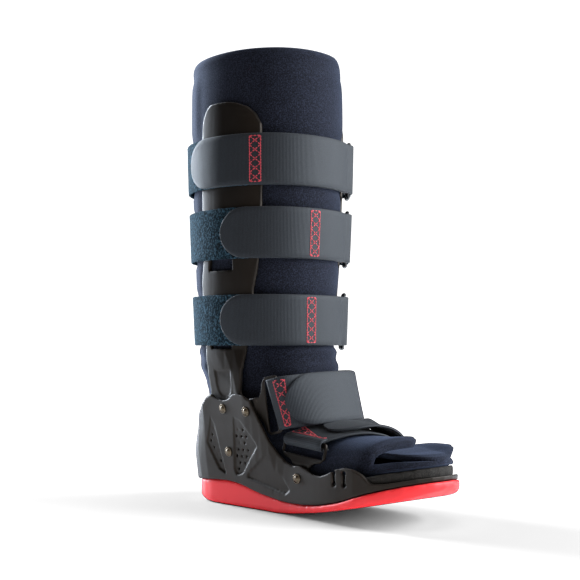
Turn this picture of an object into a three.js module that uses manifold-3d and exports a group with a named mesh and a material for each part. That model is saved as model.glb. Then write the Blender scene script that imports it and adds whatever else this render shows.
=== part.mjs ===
// Medical walking boot: a rigid rocker shell and outsole, two side uprights,
// a padded wrap liner, and five straps that fold round rings and slotted brackets.
// Millimetres, +Z up, toe towards -Y. The origin is the middle of the sole's flat
// rest patch. Near side is -X, far side is +X.
import * as THREE from 'three';
import { mergeVertices } from 'three/addons/utils/BufferGeometryUtils.js';
import Module from 'manifold-3d';

const wasm = await Module();
wasm.setup();

// Driving dimensions
const bootHeight = 398;
const ankleHeight = 139;
const soleLength = 281;
const footWidth = 104;
const legDepth = 144;
const legWidth = 124;
const legCentre = 20;
const heelReach = 71;
const heelRadius = 46;
const toeRadius = 50;

// Sole and shell
const toeLift = 30;
const outsoleDepth = 22;
const shellFloorDepth = 10;
const shellWall = 3;
const cuffHeight = 75;
const wallLean = 0.157;
const soleInset = 3;
const toeCap = 1.5;
const insoleDepth = 6.5;
const insoleRebate = 1;
const seat = 0.3;

// Liner
const linerWall = 6.5;
const flapGap = 0.8;
const linerEase = 0.7;
const rimCorner = 30;

// Uprights
const uprightWall = 3.5;
const uprightBottom = 38;
const uprightTop = 354;
const uprightSeat = 0.8;

// Straps
const webWidth = 44;
const webThick = 2;
const ringWire = 3.5;
const ringSpan = 14.6;
const ringOver = 4;
const strapEase = 0.5;
const ringEase = 0.5;

// Brackets and rivets
const bracketWall = 2;
const barWidth = 5;
const slotLength = 9;
const rivetHead = 10;
const rivetRise = 2.2;
const rivetShank = 4;
const rivetPlay = 0.3;

const legFront = legCentre - legDepth / 2;
const heelBack = legCentre + heelReach;
const toeReach = soleLength - heelReach - legDepth / 2;
const toeTip = legFront - toeReach;
const degree = Math.PI / 180;

// Length along the foot: -1 is the back of the leg, 1 its front, 2 the toe tip
function along(share) {
  if (share <= 1) return legCentre - share * legDepth / 2;
  return legFront - (share - 1) * toeReach;
}

// The share that gives a length along the foot
function shareAt(y) {
  if (y >= legFront) return (legCentre - y) / (legDepth / 2);
  return 1 + (legFront - y) / toeReach;
}

// Height: 0 is the floor, 1 the ankle, 2 the rim
function rise(share) {
  if (share <= 1) return share * ankleHeight;
  return ankleHeight + (share - 1) * (bootHeight - ankleHeight);
}

function lerp(a, b, t) {
  return a + (b - a) * t;
}

function clamp(value, low, high) {
  return Math.min(high, Math.max(low, value));
}

function smooth(low, high, value) {
  const t = clamp((value - low) / (high - low), 0, 1);
  return t * t * (3 - 2 * t);
}

// A smooth curve through one column of a table, read at a place in another
function curveOf(table, from, to) {
  const place = table.map((row) => row[from]);
  const value = table.map((row) => row[to]);
  const last = place.length - 1;
  const slope = value.map((v, i) => {
    const before = Math.max(i - 1, 0);
    const after = Math.min(i + 1, last);
    return (value[after] - value[before]) / (place[after] - place[before]);
  });
  return (at) => {
    const x = clamp(at, place[0], place[last]);
    let i = 0;
    while (i < last - 1 && x > place[i + 1]) i += 1;
    const span = place[i + 1] - place[i];
    const t = (x - place[i]) / span;
    const t2 = t * t;
    const t3 = t2 * t;
    return (2 * t3 - 3 * t2 + 1) * value[i] + (t3 - 2 * t2 + t) * span * slope[i]
      + (3 * t2 - 2 * t3) * value[i + 1] + (t3 - t2) * span * slope[i + 1];
  };
}

// Straight lines between the rows of a table
function lineOf(table, from, to) {
  return (at) => {
    const last = table.length - 1;
    const x = clamp(at, table[0][from], table[last][from]);
    let i = 0;
    while (i < last - 1 && x > table[i + 1][from]) i += 1;
    const t = (x - table[i][from]) / (table[i + 1][from] - table[i][from]);
    return lerp(table[i][to], table[i + 1][to], t);
  };
}

// Mesh building from points and faces
class Skin {
  constructor() {
    this.points = [];
    this.faces = [];
  }

  point(x, y, z) {
    this.points.push(x, y, z);
    return this.points.length / 3 - 1;
  }

  triangle(a, b, c) {
    if (a === b || b === c || a === c) return;
    this.faces.push(a, b, c);
  }

  quad(a, b, c, d) {
    this.triangle(a, b, c);
    this.triangle(a, c, d);
  }

  geometry() {
    const made = new THREE.BufferGeometry();
    made.setAttribute('position', new THREE.Float32BufferAttribute(this.points, 3));
    made.setIndex(this.faces);
    return turnedOut(mergeVertices(made, 1e-4));
  }
}

// A closed body's volume tells whether its faces point out
function volumeOf(geometry) {
  const p = geometry.attributes.position;
  const index = geometry.index;
  const a = new THREE.Vector3();
  const b = new THREE.Vector3();
  const c = new THREE.Vector3();
  let sum = 0;
  for (let i = 0; i < index.count; i += 3) {
    a.fromBufferAttribute(p, index.getX(i));
    b.fromBufferAttribute(p, index.getX(i + 1));
    c.fromBufferAttribute(p, index.getX(i + 2));
    sum += a.dot(b.cross(c)) / 6;
  }
  return sum;
}

function turnedOut(geometry) {
  if (volumeOf(geometry) > 0) return geometry;
  const flipped = Array.from(geometry.index.array);
  for (let i = 0; i < flipped.length; i += 3) {
    [flipped[i], flipped[i + 1]] = [flipped[i + 1], flipped[i]];
  }
  geometry.setIndex(flipped);
  return geometry;
}

// Rings of points, joined from one to the next, closed flat at each end. An outline
// that turns in on itself is given flat as well, to be cut into triangles
function loft(rings, loop = false, flat = null) {
  const skin = new Skin();
  const ids = rings.map((ring) => ring.map((p) => skin.point(p.x, p.y, p.z)));
  const size = rings[0].length;
  const spans = loop ? rings.length : rings.length - 1;
  for (let r = 0; r < spans; r += 1) {
    const here = ids[r];
    const next = ids[(r + 1) % rings.length];
    for (let i = 0; i < size; i += 1) {
      const j = (i + 1) % size;
      skin.quad(here[i], here[j], next[j], next[i]);
    }
  }
  if (!loop) {
    const first = ids[0];
    const final = ids[ids.length - 1];
    for (const [i, j, k] of capFaces(size, flat)) {
      skin.triangle(first[i], first[k], first[j]);
      skin.triangle(final[i], final[j], final[k]);
    }
  }
  return skin.geometry();
}

function capFaces(size, flat) {
  if (!flat) return Array.from({ length: size - 2 }, (_, i) => [0, i + 1, i + 2]);
  const faces = THREE.ShapeUtils.triangulateShape(flat, []);
  const clockwise = THREE.ShapeUtils.isClockWise(flat);
  return faces.map(([i, j, k]) => {
    const a = flat[i];
    const b = flat[j];
    const c = flat[k];
    const turns = (b.x - a.x) * (c.y - a.y) - (b.y - a.y) * (c.x - a.x) > 0;
    return turns === clockwise ? [i, k, j] : [i, j, k];
  });
}

// A wall between an outer and an inner grid of points, closed round its edges
function wallBetween(outer, inner) {
  const skin = new Skin();
  const out = outer.map((row) => row.map((p) => skin.point(p.x, p.y, p.z)));
  const inn = inner.map((row) => row.map((p) => skin.point(p.x, p.y, p.z)));
  const rows = outer.length - 1;
  const columns = outer[0].length - 1;
  for (let r = 0; r < rows; r += 1) {
    for (let c = 0; c < columns; c += 1) {
      skin.quad(out[r][c], out[r][c + 1], out[r + 1][c + 1], out[r + 1][c]);
      skin.quad(inn[r][c], inn[r + 1][c], inn[r + 1][c + 1], inn[r][c + 1]);
    }
    skin.quad(out[r][0], out[r + 1][0], inn[r + 1][0], inn[r][0]);
    skin.quad(out[r][columns], inn[r][columns], inn[r + 1][columns], out[r + 1][columns]);
  }
  for (let c = 0; c < columns; c += 1) {
    skin.quad(out[0][c], inn[0][c], inn[0][c + 1], out[0][c + 1]);
    skin.quad(out[rows][c], out[rows][c + 1], inn[rows][c + 1], inn[rows][c]);
  }
  return skin.geometry();
}

// Solids for cutting and joining
function solidOf(geometry) {
  const bare = geometry.clone();
  bare.deleteAttribute('normal');
  bare.deleteAttribute('uv');
  const merged = turnedOut(mergeVertices(bare, 1e-4));
  return new wasm.Manifold(new wasm.Mesh({
    numProp: 3,
    vertProperties: new Float32Array(merged.attributes.position.array),
    triVerts: new Uint32Array(merged.index.array),
  }));
}

function geometryOf(solid) {
  const mesh = solid.getMesh();
  const made = new THREE.BufferGeometry();
  const kept = new Float32Array(mesh.numVert * 3);
  for (let i = 0; i < mesh.numVert; i += 1) {
    for (let k = 0; k < 3; k += 1) kept[3 * i + k] = mesh.vertProperties[mesh.numProp * i + k];
  }
  made.setAttribute('position', new THREE.BufferAttribute(kept, 3));
  made.setIndex(Array.from(mesh.triVerts));
  return made;
}

function cutFrom(geometry, tools) {
  let solid = solidOf(geometry);
  for (const tool of tools) solid = solid.subtract(solidOf(tool));
  return geometryOf(solid);
}

function mirrored(geometry) {
  const copy = geometry.clone();
  copy.deleteAttribute('normal');
  copy.deleteAttribute('uv');
  const merged = mergeVertices(copy, 1e-4);
  merged.scale(-1, 1, 1);
  return turnedOut(merged);
}

// A round or many-sided bar between two points
function rodBetween(start, end, radius, sides) {
  const made = new THREE.CylinderGeometry(radius, radius, start.distanceTo(end), sides);
  const turn = new THREE.Quaternion().setFromUnitVectors(
    new THREE.Vector3(0, 1, 0),
    end.clone().sub(start).normalize(),
  );
  made.applyQuaternion(turn);
  const middle = start.clone().add(end).multiplyScalar(0.5);
  return made.translate(middle.x, middle.y, middle.z);
}

// The sole's rows, as shares: place along the foot, half width of footWidth / 2,
// ground of toeLift, outsole of outsoleDepth, shell floor of shellFloorDepth, and
// how much of wallLean the shell's wall leans out
const soleRows = [
  [-0.986, 0.923, 0.300, 0.386, 0.80, 0.25],
  [-0.694, 0.923, 0.087, 0.768, 0.60, 0.60],
  [-0.444, 0.923, 0.010, 0.941, 0.45, 1.00],
  [-0.333, 0.923, 0.000, 0.977, 0.40, 1.00],
  [0.000, 0.923, 0.000, 1.023, 0.30, 1.00],
  [0.278, 0.923, 0.000, 0.932, 0.40, 1.00],
  [0.556, 0.923, 0.000, 0.727, 0.70, 1.00],
  [0.889, 0.935, 0.000, 0.573, 0.89, 0.75],
  [1.058, 0.950, 0.047, 0.445, 0.98, 0.30],
  [1.203, 0.971, 0.140, 0.336, 0.97, 0.20],
  [1.370, 0.996, 0.260, 0.282, 0.92, 0.20],
  [1.536, 1.000, 0.410, 0.305, 0.85, 0.20],
  [1.710, 0.971, 0.573, 0.445, 0.65, 0.20],
  [1.870, 0.923, 0.750, 0.477, 0.55, 0.20],
  [2.000, 0.885, 1.000, 0.345, 0.44, 0.20],
];

// The top edge of the shell's wall, as shares: place along the foot, and height
// over the shell's floor of cuffHeight
const edgeRows = [
  [-0.986, 0.407],
  [-0.889, 0.460],
  [-0.722, 0.593],
  [-0.556, 0.727],
  [-0.389, 0.847],
  [-0.250, 0.933],
  [-0.139, 0.980],
  [0.028, 0.995],
  [0.444, 1.025],
  [0.556, 1.013],
  [0.653, 0.959],
  [0.708, 0.849],
  [0.792, 0.694],
  [0.889, 0.533],
  [1.007, 0.404],
  [1.072, 0.320],
  [1.130, 0.291],
  [1.196, 0.300],
  [1.254, 0.255],
  [1.326, 0.197],
  [1.406, 0.182],
  [1.478, 0.227],
  [1.551, 0.247],
  [1.623, 0.213],
  [1.688, 0.137],
  [1.746, 0.060],
  [1.783, 0.030],
  [1.870, 0.027],
  [2.000, 0.027],
];

const widthShare = curveOf(soleRows, 0, 1);
const groundShare = lineOf(soleRows, 0, 2);
const outsoleShare = curveOf(soleRows, 0, 3);
const shellFloorShare = curveOf(soleRows, 0, 4);
const leanShare = curveOf(soleRows, 0, 5);
const edgeShare = lineOf(edgeRows, 0, 1);

const baseHalf = (y) => widthShare(shareAt(y)) * footWidth / 2;
const groundAt = (y) => groundShare(shareAt(y)) * toeLift;
const seamAt = (y) => groundAt(y) + outsoleShare(shareAt(y)) * outsoleDepth;
const floorAt = (y) => seamAt(y) + shellFloorShare(shareAt(y)) * shellFloorDepth;
const leanAt = (y) => leanShare(shareAt(y)) * wallLean;
const edgeAt = (y) => floorAt(y) + edgeShare(shareAt(y)) * cuffHeight;
const insoleTop = (y) => floorAt(y) + seat + insoleDepth;

// Outside of the shell's side wall at a place along the foot and a height
const shellOut = (y, z) => baseHalf(y) + leanAt(y) * (z - seamAt(y));
const shellIn = (y, z) => shellOut(y, z) - shellWall;

// Half of the sole's plan from the heel's back to the toe's tip: each station has
// its place, and the way that its edge faces
function planStations(arcSteps, straightSteps) {
  const heelCentre = heelBack - heelRadius;
  const toeCentre = toeTip + toeRadius;
  const stations = [];
  for (let i = 0; i < arcSteps; i += 1) {
    const turn = i / arcSteps * Math.PI / 2;
    stations.push(endStation(heelCentre, heelRadius, turn, 1));
  }
  for (let i = 0; i <= straightSteps; i += 1) {
    const y = lerp(heelCentre, toeCentre, i / straightSteps);
    stations.push({ y, half: baseHalf(y), facingX: 1, facingY: 0 });
  }
  for (let i = arcSteps - 1; i >= 0; i -= 1) {
    const turn = i / arcSteps * Math.PI / 2;
    stations.push(endStation(toeCentre, toeRadius, turn, -1));
  }
  return stations;
}

function endStation(centre, radius, turn, way) {
  const y = centre + way * radius * Math.cos(turn);
  return {
    y,
    half: baseHalf(y) * Math.sin(turn),
    facingX: Math.sin(turn),
    facingY: way * Math.cos(turn),
  };
}

// The plan moved out or in by an offset that may change along the foot, at levels
// given by functions of the place along the foot
function planLoop(stations, offset, level) {
  const half = stations.map((station) => {
    const out = offset(station.y);
    const y = station.y + station.facingY * out;
    return {
      x: station.half + station.facingX * out,
      y,
      z: level(clamp(y, toeTip + 1, heelBack - 1)),
    };
  });
  half[0].x = 0;
  half[half.length - 1].x = 0;
  const near = half.map((p) => new THREE.Vector3(-p.x, p.y, p.z));
  const far = half.slice(1, -1).reverse().map((p) => new THREE.Vector3(p.x, p.y, p.z));
  return near.concat(far);
}

// Closes a plan loop across the foot, near side to far side
function closeAcross(skin, ids) {
  const count = ids.length;
  const half = count / 2;
  for (let i = 0; i < half; i += 1) {
    const a = ids[i];
    const b = ids[i + 1];
    const c = ids[(count - i - 1) % count];
    const d = ids[(count - i) % count];
    skin.quad(a, b, c, d);
  }
}

// A body whose skin runs up and over a list of plan loops, closed at both ends
function planBody(loops) {
  const skin = new Skin();
  const ids = loops.map((loop) => loop.map((p) => skin.point(p.x, p.y, p.z)));
  const count = ids[0].length;
  for (let r = 0; r < ids.length - 1; r += 1) {
    for (let i = 0; i < count; i += 1) {
      const j = (i + 1) % count;
      skin.quad(ids[r][i], ids[r][j], ids[r + 1][j], ids[r + 1][i]);
    }
  }
  const foot = new Skin();
  foot.points = skin.points;
  closeAcross(foot, ids[0]);
  for (let i = 0; i < foot.faces.length; i += 3) {
    skin.triangle(foot.faces[i], foot.faces[i + 2], foot.faces[i + 1]);
  }
  closeAcross(skin, ids[ids.length - 1]);
  return skin.geometry();
}

// Red rocker outsole, thick under the heel and rolled up at the toe
const soleStations = planStations(6, 21);
const capStart = 1.6;
function outsoleSide(y) {
  const forward = smooth(0, legFront - along(capStart), legFront - y);
  return lerp(-soleInset, toeCap, forward);
}

function outsole() {
  const treadRound = 2.5;
  return planBody([
    planLoop(soleStations, (y) => outsoleSide(y) - treadRound, groundAt),
    planLoop(soleStations, outsoleSide, (y) => groundAt(y) + treadRound),
    planLoop(soleStations, outsoleSide, (y) => seamAt(y) - seat),
  ]);
}

// Openings in the shell's side walls. Each row is a corner: place along the foot,
// and height over the shell's floor as a share of cuffHeight
const rearPanel = [
  [-0.167, 0.727],
  [-0.306, 0.407],
  [-0.264, 0.340],
  [-0.111, 0.087],
  [0.014, 0.034],
  [-0.042, 0.300],
  [-0.097, 0.633],
];
const frontPanel = [
  [0.292, 0.754],
  [0.417, 0.723],
  [0.653, 0.499],
  [0.681, 0.448],
  [0.347, 0.092],
  [0.222, 0.051],
  [0.188, 0.122],
  [0.250, 0.472],
];
const gussetPanel = [
  [0.819, 0.376],
  [0.889, 0.380],
  [1.101, 0.010],
  [1.058, -0.040],
  [0.417, 0.057],
  [0.458, 0.113],
];
const keyholeRows = [
  [1.493, 0.088, 0.208],
  [1.572, 0.057, 0.177],
];
const panelDeep = 1.9;
const panelShallow = 0.3;
const ventRadius = 1.25;
const ventPitch = 6.8;
const ventMargin = 2.6;
const ventSides = 5;
const keyholeBore = 2.2;
const keyholeSlot = 1.2;
const notchPlace = 0.108;
const notchHalf = 15;
const notchDeep = 6;

// Rivet places: along the foot, height over the shell's floor of cuffHeight
const rivetRows = {
  upper: [0.111, 0.825],
  lower: [0.125, 0.319],
  instep: [0.556, 0.840],
  forefoot: [1.174, 0.157],
};

const cuffPoint = ([place, height]) => {
  const y = along(place);
  return { y, z: floorAt(y) + height * cuffHeight };
};

// A point on the near side's wall, in from its outside by a depth
function wallPoint(y, z, depth) {
  return new THREE.Vector3(-(shellOut(y, z) - depth), y, z);
}

// Outward direction of the near side's wall
function wallFacing(y) {
  return new THREE.Vector3(-1, 0, -leanAt(y)).normalize();
}

// A shallow panel whose floor slopes in from its top edge to its foot
function panelTool(rows) {
  const corners = rows.map(cuffPoint);
  const heights = corners.map((corner) => corner.z);
  const high = Math.max(...heights);
  const low = Math.min(...heights);
  const clear = shellWall;
  const outer = corners.map(({ y, z }) => wallPoint(y, z, -clear));
  const inner = corners.map(({ y, z }) => {
    const down = (high - z) / (high - low);
    return wallPoint(y, z, lerp(panelShallow, panelDeep, down));
  });
  return loft([outer, inner], false, corners.map(({ y, z }) => new THREE.Vector2(y, z)));
}

function insidePolygon(corners, y, z, margin) {
  let inside = false;
  for (let i = 0; i < corners.length; i += 1) {
    const a = corners[i];
    const b = corners[(i + 1) % corners.length];
    if ((a.z > z) !== (b.z > z)) {
      if (y < (b.y - a.y) * (z - a.z) / (b.z - a.z) + a.y) inside = !inside;
    }
    const run = Math.hypot(b.y - a.y, b.z - a.z);
    const t = clamp(((y - a.y) * (b.y - a.y) + (z - a.z) * (b.z - a.z)) / (run * run), 0, 1);
    const off = Math.hypot(y - lerp(a.y, b.y, t), z - lerp(a.z, b.z, t));
    if (off < margin) return false;
  }
  return inside;
}

// Small vent holes in staggered rows inside a panel
function ventTools(rows) {
  const corners = rows.map(cuffPoint);
  const tools = [];
  const rowPitch = ventPitch * Math.sqrt(3) / 2;
  const low = Math.min(...corners.map((corner) => corner.z));
  const high = Math.max(...corners.map((corner) => corner.z));
  const back = Math.max(...corners.map((corner) => corner.y));
  const fore = Math.min(...corners.map((corner) => corner.y));
  for (let row = 0; low + row * rowPitch < high; row += 1) {
    const shift = row % 2 ? ventPitch / 2 : 0;
    for (let column = 0; fore + shift + column * ventPitch < back; column += 1) {
      const y = fore + shift + column * ventPitch;
      const z = low + row * rowPitch;
      if (insidePolygon(corners, y, z, ventMargin)) tools.push(wallBore(y, z, ventRadius, ventSides));
    }
  }
  return tools;
}

function wallBore(y, z, radius, sides) {
  const facing = wallFacing(y);
  const reach = shellWall * 2;
  const middle = wallPoint(y, z, shellWall / 2);
  const start = middle.clone().addScaledVector(facing, -reach);
  const end = middle.clone().addScaledVector(facing, reach);
  return rodBetween(start, end, radius, sides);
}

// A keyhole: two round bores joined by a narrow slot
function keyholeTools([place, low, high]) {
  const top = cuffPoint([place, high]);
  const foot = cuffPoint([place, low]);
  const slot = new THREE.BoxGeometry(shellWall * 4, keyholeSlot * 2, top.z - foot.z);
  const middle = wallPoint(top.y, (top.z + foot.z) / 2, shellWall / 2);
  slot.translate(middle.x, middle.y, middle.z);
  return [
    wallBore(top.y, top.z, keyholeBore, 8),
    wallBore(foot.y, foot.z, keyholeBore, 8),
    slot,
  ];
}

// The dip in the cuff's top edge between the two upper corners
function notchTool() {
  const y = along(notchPlace);
  const radius = (notchHalf * notchHalf + notchDeep * notchDeep) / (2 * notchDeep);
  const z = edgeAt(y) - notchDeep + radius;
  const x = shellOut(y, z);
  return rodBetween(new THREE.Vector3(-x * 1.5, y, z), new THREE.Vector3(x * 1.5, y, z), radius, 32);
}

function rivetBore(rows) {
  const { y, z } = cuffPoint(rows);
  const facing = wallFacing(y);
  const at = wallPoint(y, z, 0);
  return rodBetween(
    at.clone().addScaledVector(facing, rivetHead),
    at.clone().addScaledVector(facing, -(shellWall + uprightWall + rivetHead / 2)),
    rivetShank / 2 + rivetPlay,
    12,
  );
}

// Shell: floor, heel cup, cuff walls and toe strip in one moulding
function shell() {
  const edgeRound = 1;
  const lean = (y, z) => leanAt(y) * (z - seamAt(y));
  const body = planBody([
    planLoop(soleStations, () => -edgeRound, seamAt),
    planLoop(soleStations, () => 0, (y) => seamAt(y) + edgeRound),
    planLoop(soleStations, (y) => lean(y, edgeAt(y)), edgeAt),
    planLoop(soleStations, (y) => lean(y, edgeAt(y)) - shellWall, edgeAt),
    planLoop(soleStations, (y) => lean(y, floorAt(y)) - shellWall, floorAt),
  ]);
  const near = [
    panelTool(rearPanel),
    panelTool(frontPanel),
    panelTool(gussetPanel),
    ...ventTools(rearPanel),
    ...ventTools(frontPanel),
    ...keyholeRows.flatMap(keyholeTools),
    ...Object.values(rivetRows).map(rivetBore),
  ];
  return cutFrom(body, [notchTool(), ...near, ...near.map(mirrored)]);
}

// Foam insole on the shell's floor, out to the toe
function insole() {
  const soleEase = shellWall + insoleRebate;
  const lean = (y, z) => leanAt(y) * (z - seamAt(y)) - soleEase;
  const low = (y) => floorAt(y) + seat;
  return planBody([
    planLoop(soleStations, (y) => lean(y, low(y)), low),
    planLoop(soleStations, (y) => lean(y, insoleTop(y)), insoleTop),
  ]);
}

// Liner sections from the rim down the leg and out to the toe. Shares: front or
// top point (place, height), back or bottom point (place, height; null lies on the
// insole), half width of legWidth / 2, half width of the room inside the shell and
// uprights, then how square the front and the back are
const linerRows = [
  [1.000, 1.996, -1.000, 1.992, 1.000, 0.000, 2.1, 2.1],
  [0.993, 1.737, -0.993, 1.737, 1.000, 0.000, 2.1, 2.1],
  [0.958, 1.429, -0.944, 1.429, 0.976, 0.000, 2.1, 2.1],
  [0.917, 1.197, -0.903, 1.197, 0.944, 0.000, 2.1, 2.1],
  [0.910, 1.050, -0.889, 1.004, 0.903, 0.000, 2.1, 2.1],
  [0.944, 0.921, -0.931, 0.741, 0.000, 0.967, 2.3, 2.2],
  [1.014, 0.784, -0.931, 0.518, 0.000, 0.976, 2.6, 2.3],
  [1.058, 0.676, -0.833, 0.302, 0.000, 0.980, 2.8, 2.8],
  [1.116, 0.579, -0.556, null, 0.000, 0.977, 2.8, 4.0],
  [1.196, 0.518, -0.069, null, 0.000, 0.964, 2.3, 5.0],
  [1.304, 0.496, 0.556, null, 0.000, 0.965, 2.2, 5.0],
  [1.420, 0.486, 1.101, null, 0.000, 0.955, 2.2, 5.0],
  [1.551, 0.482, 1.406, null, 0.000, 0.974, 2.2, 5.0],
  [1.696, 0.486, 1.652, null, 0.000, 0.980, 2.2, 5.0],
  [1.855, 0.468, 1.841, null, 0.000, 0.988, 2.2, 5.0],
  [1.986, 0.446, 1.986, null, 0.000, 0.980, 2.2, 5.0],
];
const ankleRow = 5;
const toeRow = linerRows.length - 1;

// The liner's sections in real places, one row per section
const linerTable = linerRows.map((row, index) => {
  const [top, topHeight, back, backHeight, legShare, roomShare, squareTop, squareBack] = row;
  const topY = along(top);
  const topZ = rise(topHeight);
  const backY = along(back);
  const backZ = backHeight === null ? insoleTop(backY) + seat + linerEase : rise(backHeight);
  const middleY = (topY + backY) / 2;
  const middleZ = (topZ + backZ) / 2;
  const room = shellIn(middleY, (middleZ + backZ) / 2) - uprightWall - uprightSeat * 2;
  const half = legShare * legWidth / 2 + roomShare * room;
  return [index, topY, topZ, backY, backZ, half, squareTop, squareBack];
});
const linerColumn = (column) => curveOf(linerTable, 0, column);
const topPlace = linerColumn(1);
const topHigh = linerColumn(2);
const backPlace = linerColumn(3);
const backRise = linerColumn(4);
const firstFlatRow = linerRows.findIndex((row) => row[3] === null);
const linerHalf = linerColumn(5);
const squareTopAt = linerColumn(6);
const squareBackAt = linerColumn(7);

// From the heel forwards the liner lies on the insole
function backHigh(row) {
  if (row < firstFlatRow) return backRise(row);
  return insoleTop(backPlace(row)) + seat + linerEase;
}

// A point of the liner's section: row, angle from the front or top towards the near
// side, and how far inside the outer skin it lies
function linerPoint(row, angle, inward) {
  const middleY = (topPlace(row) + backPlace(row)) / 2;
  const middleZ = (topHigh(row) + backHigh(row)) / 2;
  const runY = (topPlace(row) - backPlace(row)) / 2;
  const runZ = (topHigh(row) - backHigh(row)) / 2;
  const run = Math.hypot(runY, runZ);
  const c = Math.cos(angle);
  const s = Math.sin(angle);
  const square = c > 0 ? squareTopAt(row) : squareBackAt(row);
  const up = Math.sign(c) * Math.abs(c) ** (2 / square) * (run - inward) / run;
  const side = Math.sign(s) * Math.abs(s) ** (2 / square) * (linerHalf(row) - inward);
  return new THREE.Vector3(-side, middleY + up * runY, middleZ + up * runZ);
}

// Where the wrap's two edges lie: the under edge beneath the over edge, in degrees
// from the front or top towards the near side
const wrapRows = [
  [0, 25, -50],
  [5, 25, -50],
  [9, 45, -45],
  [13, 60, -30],
  [15, 62, -14],
];
const underEdge = curveOf(wrapRows, 0, 1);
const overEdge = curveOf(wrapRows, 0, 2);
const wrapTurn = 435;
const tuckTurn = 35;
const toeOpenFrom = 195;
const toeOpenTo = 245;
const toeOpenReach = 36;
const linerToeRadius = toeRadius - shellWall - insoleRebate - 1;

// How far the toe's edge stays back from the last section, at a turn of the wrap
function toeRecede(turn) {
  const side = Math.abs(linerPoint(toeRow - 1, turn * degree, 0).x);
  const held = Math.min(side, linerToeRadius * 0.96);
  const rounded = linerToeRadius - Math.sqrt(linerToeRadius ** 2 - held ** 2);
  const open = toeOpenReach * smooth(toeOpenFrom, toeOpenTo, -turn);
  return Math.max(rounded, open);
}

// Padded wrap liner: one wall wound a turn and a fifth, open at the rim and the toe
function liner() {
  const rows = 19;
  const columns = 30;
  const toeSpacing = (topPlace(toeRow - 2) - topPlace(toeRow)) / 2;
  const rimSpacing = topHigh(0) - topHigh(1);
  const outer = [];
  const inner = [];
  for (let r = 0; r <= rows; r += 1) {
    const outerRow = [];
    const innerRow = [];
    for (let c = 0; c <= columns; c += 1) {
      const t = c / columns;
      const lastTurn = lerp(underEdge(toeRow), overEdge(toeRow) - 360, t);
      const toe = toeRow - toeRecede(lastTurn) / toeSpacing;
      const overSpan = wrapTurn * degree * (1 - t) * legWidth / 2;
      const corner = Math.max(rimCorner - overSpan, 0);
      const drop = rimCorner - Math.sqrt(rimCorner ** 2 - corner ** 2);
      const row = lerp(drop / rimSpacing, toe, r / rows);
      const turn = lerp(underEdge(row), overEdge(row) - 360, t);
      const tuck = 1 - smooth(0, tuckTurn, overEdge(row) - turn);
      const inset = tuck * (linerWall + flapGap);
      outerRow.push(linerPoint(row, turn * degree, inset));
      innerRow.push(linerPoint(row, turn * degree, inset + linerWall));
    }
    outer.push(outerRow);
    inner.push(innerRow);
  }
  return wallBetween(outer, inner);
}

// The leg's outside at a height: half width, half depth and middle
const legRows = linerTable.slice(0, ankleRow + 2).reverse().map((row) => {
  const [, topY, topZ, backY, backZ, half] = row;
  return [(topZ + backZ) / 2, half, (backY - topY) / 2, (backY + topY) / 2];
});
const legHalfAt = curveOf(legRows, 0, 1);
const legDeepAt = curveOf(legRows, 0, 2);
const legMiddleAt = curveOf(legRows, 0, 3);
const legSquare = 2.1;

function legSide(y, z) {
  const off = Math.abs(y - legMiddleAt(z)) / legDeepAt(z);
  return legHalfAt(z) * (1 - clamp(off, 0, 0.98) ** legSquare) ** (1 / legSquare);
}

// Upright outline: height from uprightBottom to uprightTop, and the front and rear
// edges as shares of uprightWide either side of uprightPlace
const uprightPlace = 0.243;
const uprightWide = 63;
const uprightRows = [
  [0.000, 0.135, -0.278],
  [0.013, 0.230, -0.373],
  [0.038, 0.262, -0.437],
  [0.165, 0.262, -0.468],
  [0.259, 0.294, -0.460],
  [0.320, 0.325, -0.452],
  [0.402, 0.341, -0.468],
  [0.481, 0.357, -0.476],
  [0.547, 0.421, -0.484],
  [0.639, 0.468, -0.492],
  [0.775, 0.500, -0.500],
  [0.861, 0.500, -0.492],
  [0.934, 0.500, -0.468],
  [0.962, 0.437, -0.437],
  [0.981, 0.341, -0.389],
  [0.994, 0.183, -0.325],
  [1.000, 0.024, -0.262],
];
const blendLow = 98;
const blendHigh = 150;
// Windows hidden behind the straps: foot and top as shares of the upright's height
const windowRows = [
  [0.538, 0.700],
  [0.322, 0.460],
];
const windowHalf = 13;
const windowPlace = 10;
const tongueRow = [0.184, 0.263];
const tongueHalf = 11.5;
const tongueDeep = 1;

// The upright's inner face: inside the shell below, against the liner above
function uprightIn(y, z) {
  const low = shellIn(y, z) - uprightSeat - uprightWall;
  const high = legSide(y, z) + uprightSeat;
  return lerp(low, high, smooth(blendLow, blendHigh, z));
}

const uprightHeight = (share) => lerp(uprightBottom, uprightTop, share);

// A cutting box across the near upright, with a rounded foot where asked
function uprightTool(lowShare, highShare, half, depth, round) {
  const low = uprightHeight(lowShare);
  const high = uprightHeight(highShare);
  const middle = (low + high) / 2;
  const x = uprightIn(windowPlace, middle) + uprightWall;
  const outline = [];
  const steps = round ? 6 : 1;
  for (let i = 0; i <= steps; i += 1) {
    const turn = Math.PI + i / steps * Math.PI;
    const drop = round ? half * (1 + Math.sin(turn)) : 0;
    outline.push([half * Math.cos(turn), low + drop]);
  }
  outline.push([half, high]);
  outline.push([-half, high]);
  const face = ([across, z], inward) => {
    const y = windowPlace + across;
    return new THREE.Vector3(-(uprightIn(y, z) + uprightWall - inward), y, z);
  };
  const outer = outline.map((corner) => face(corner, -x));
  const inner = outline.map((corner) => face(corner, depth));
  return loft([outer, inner]);
}

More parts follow.
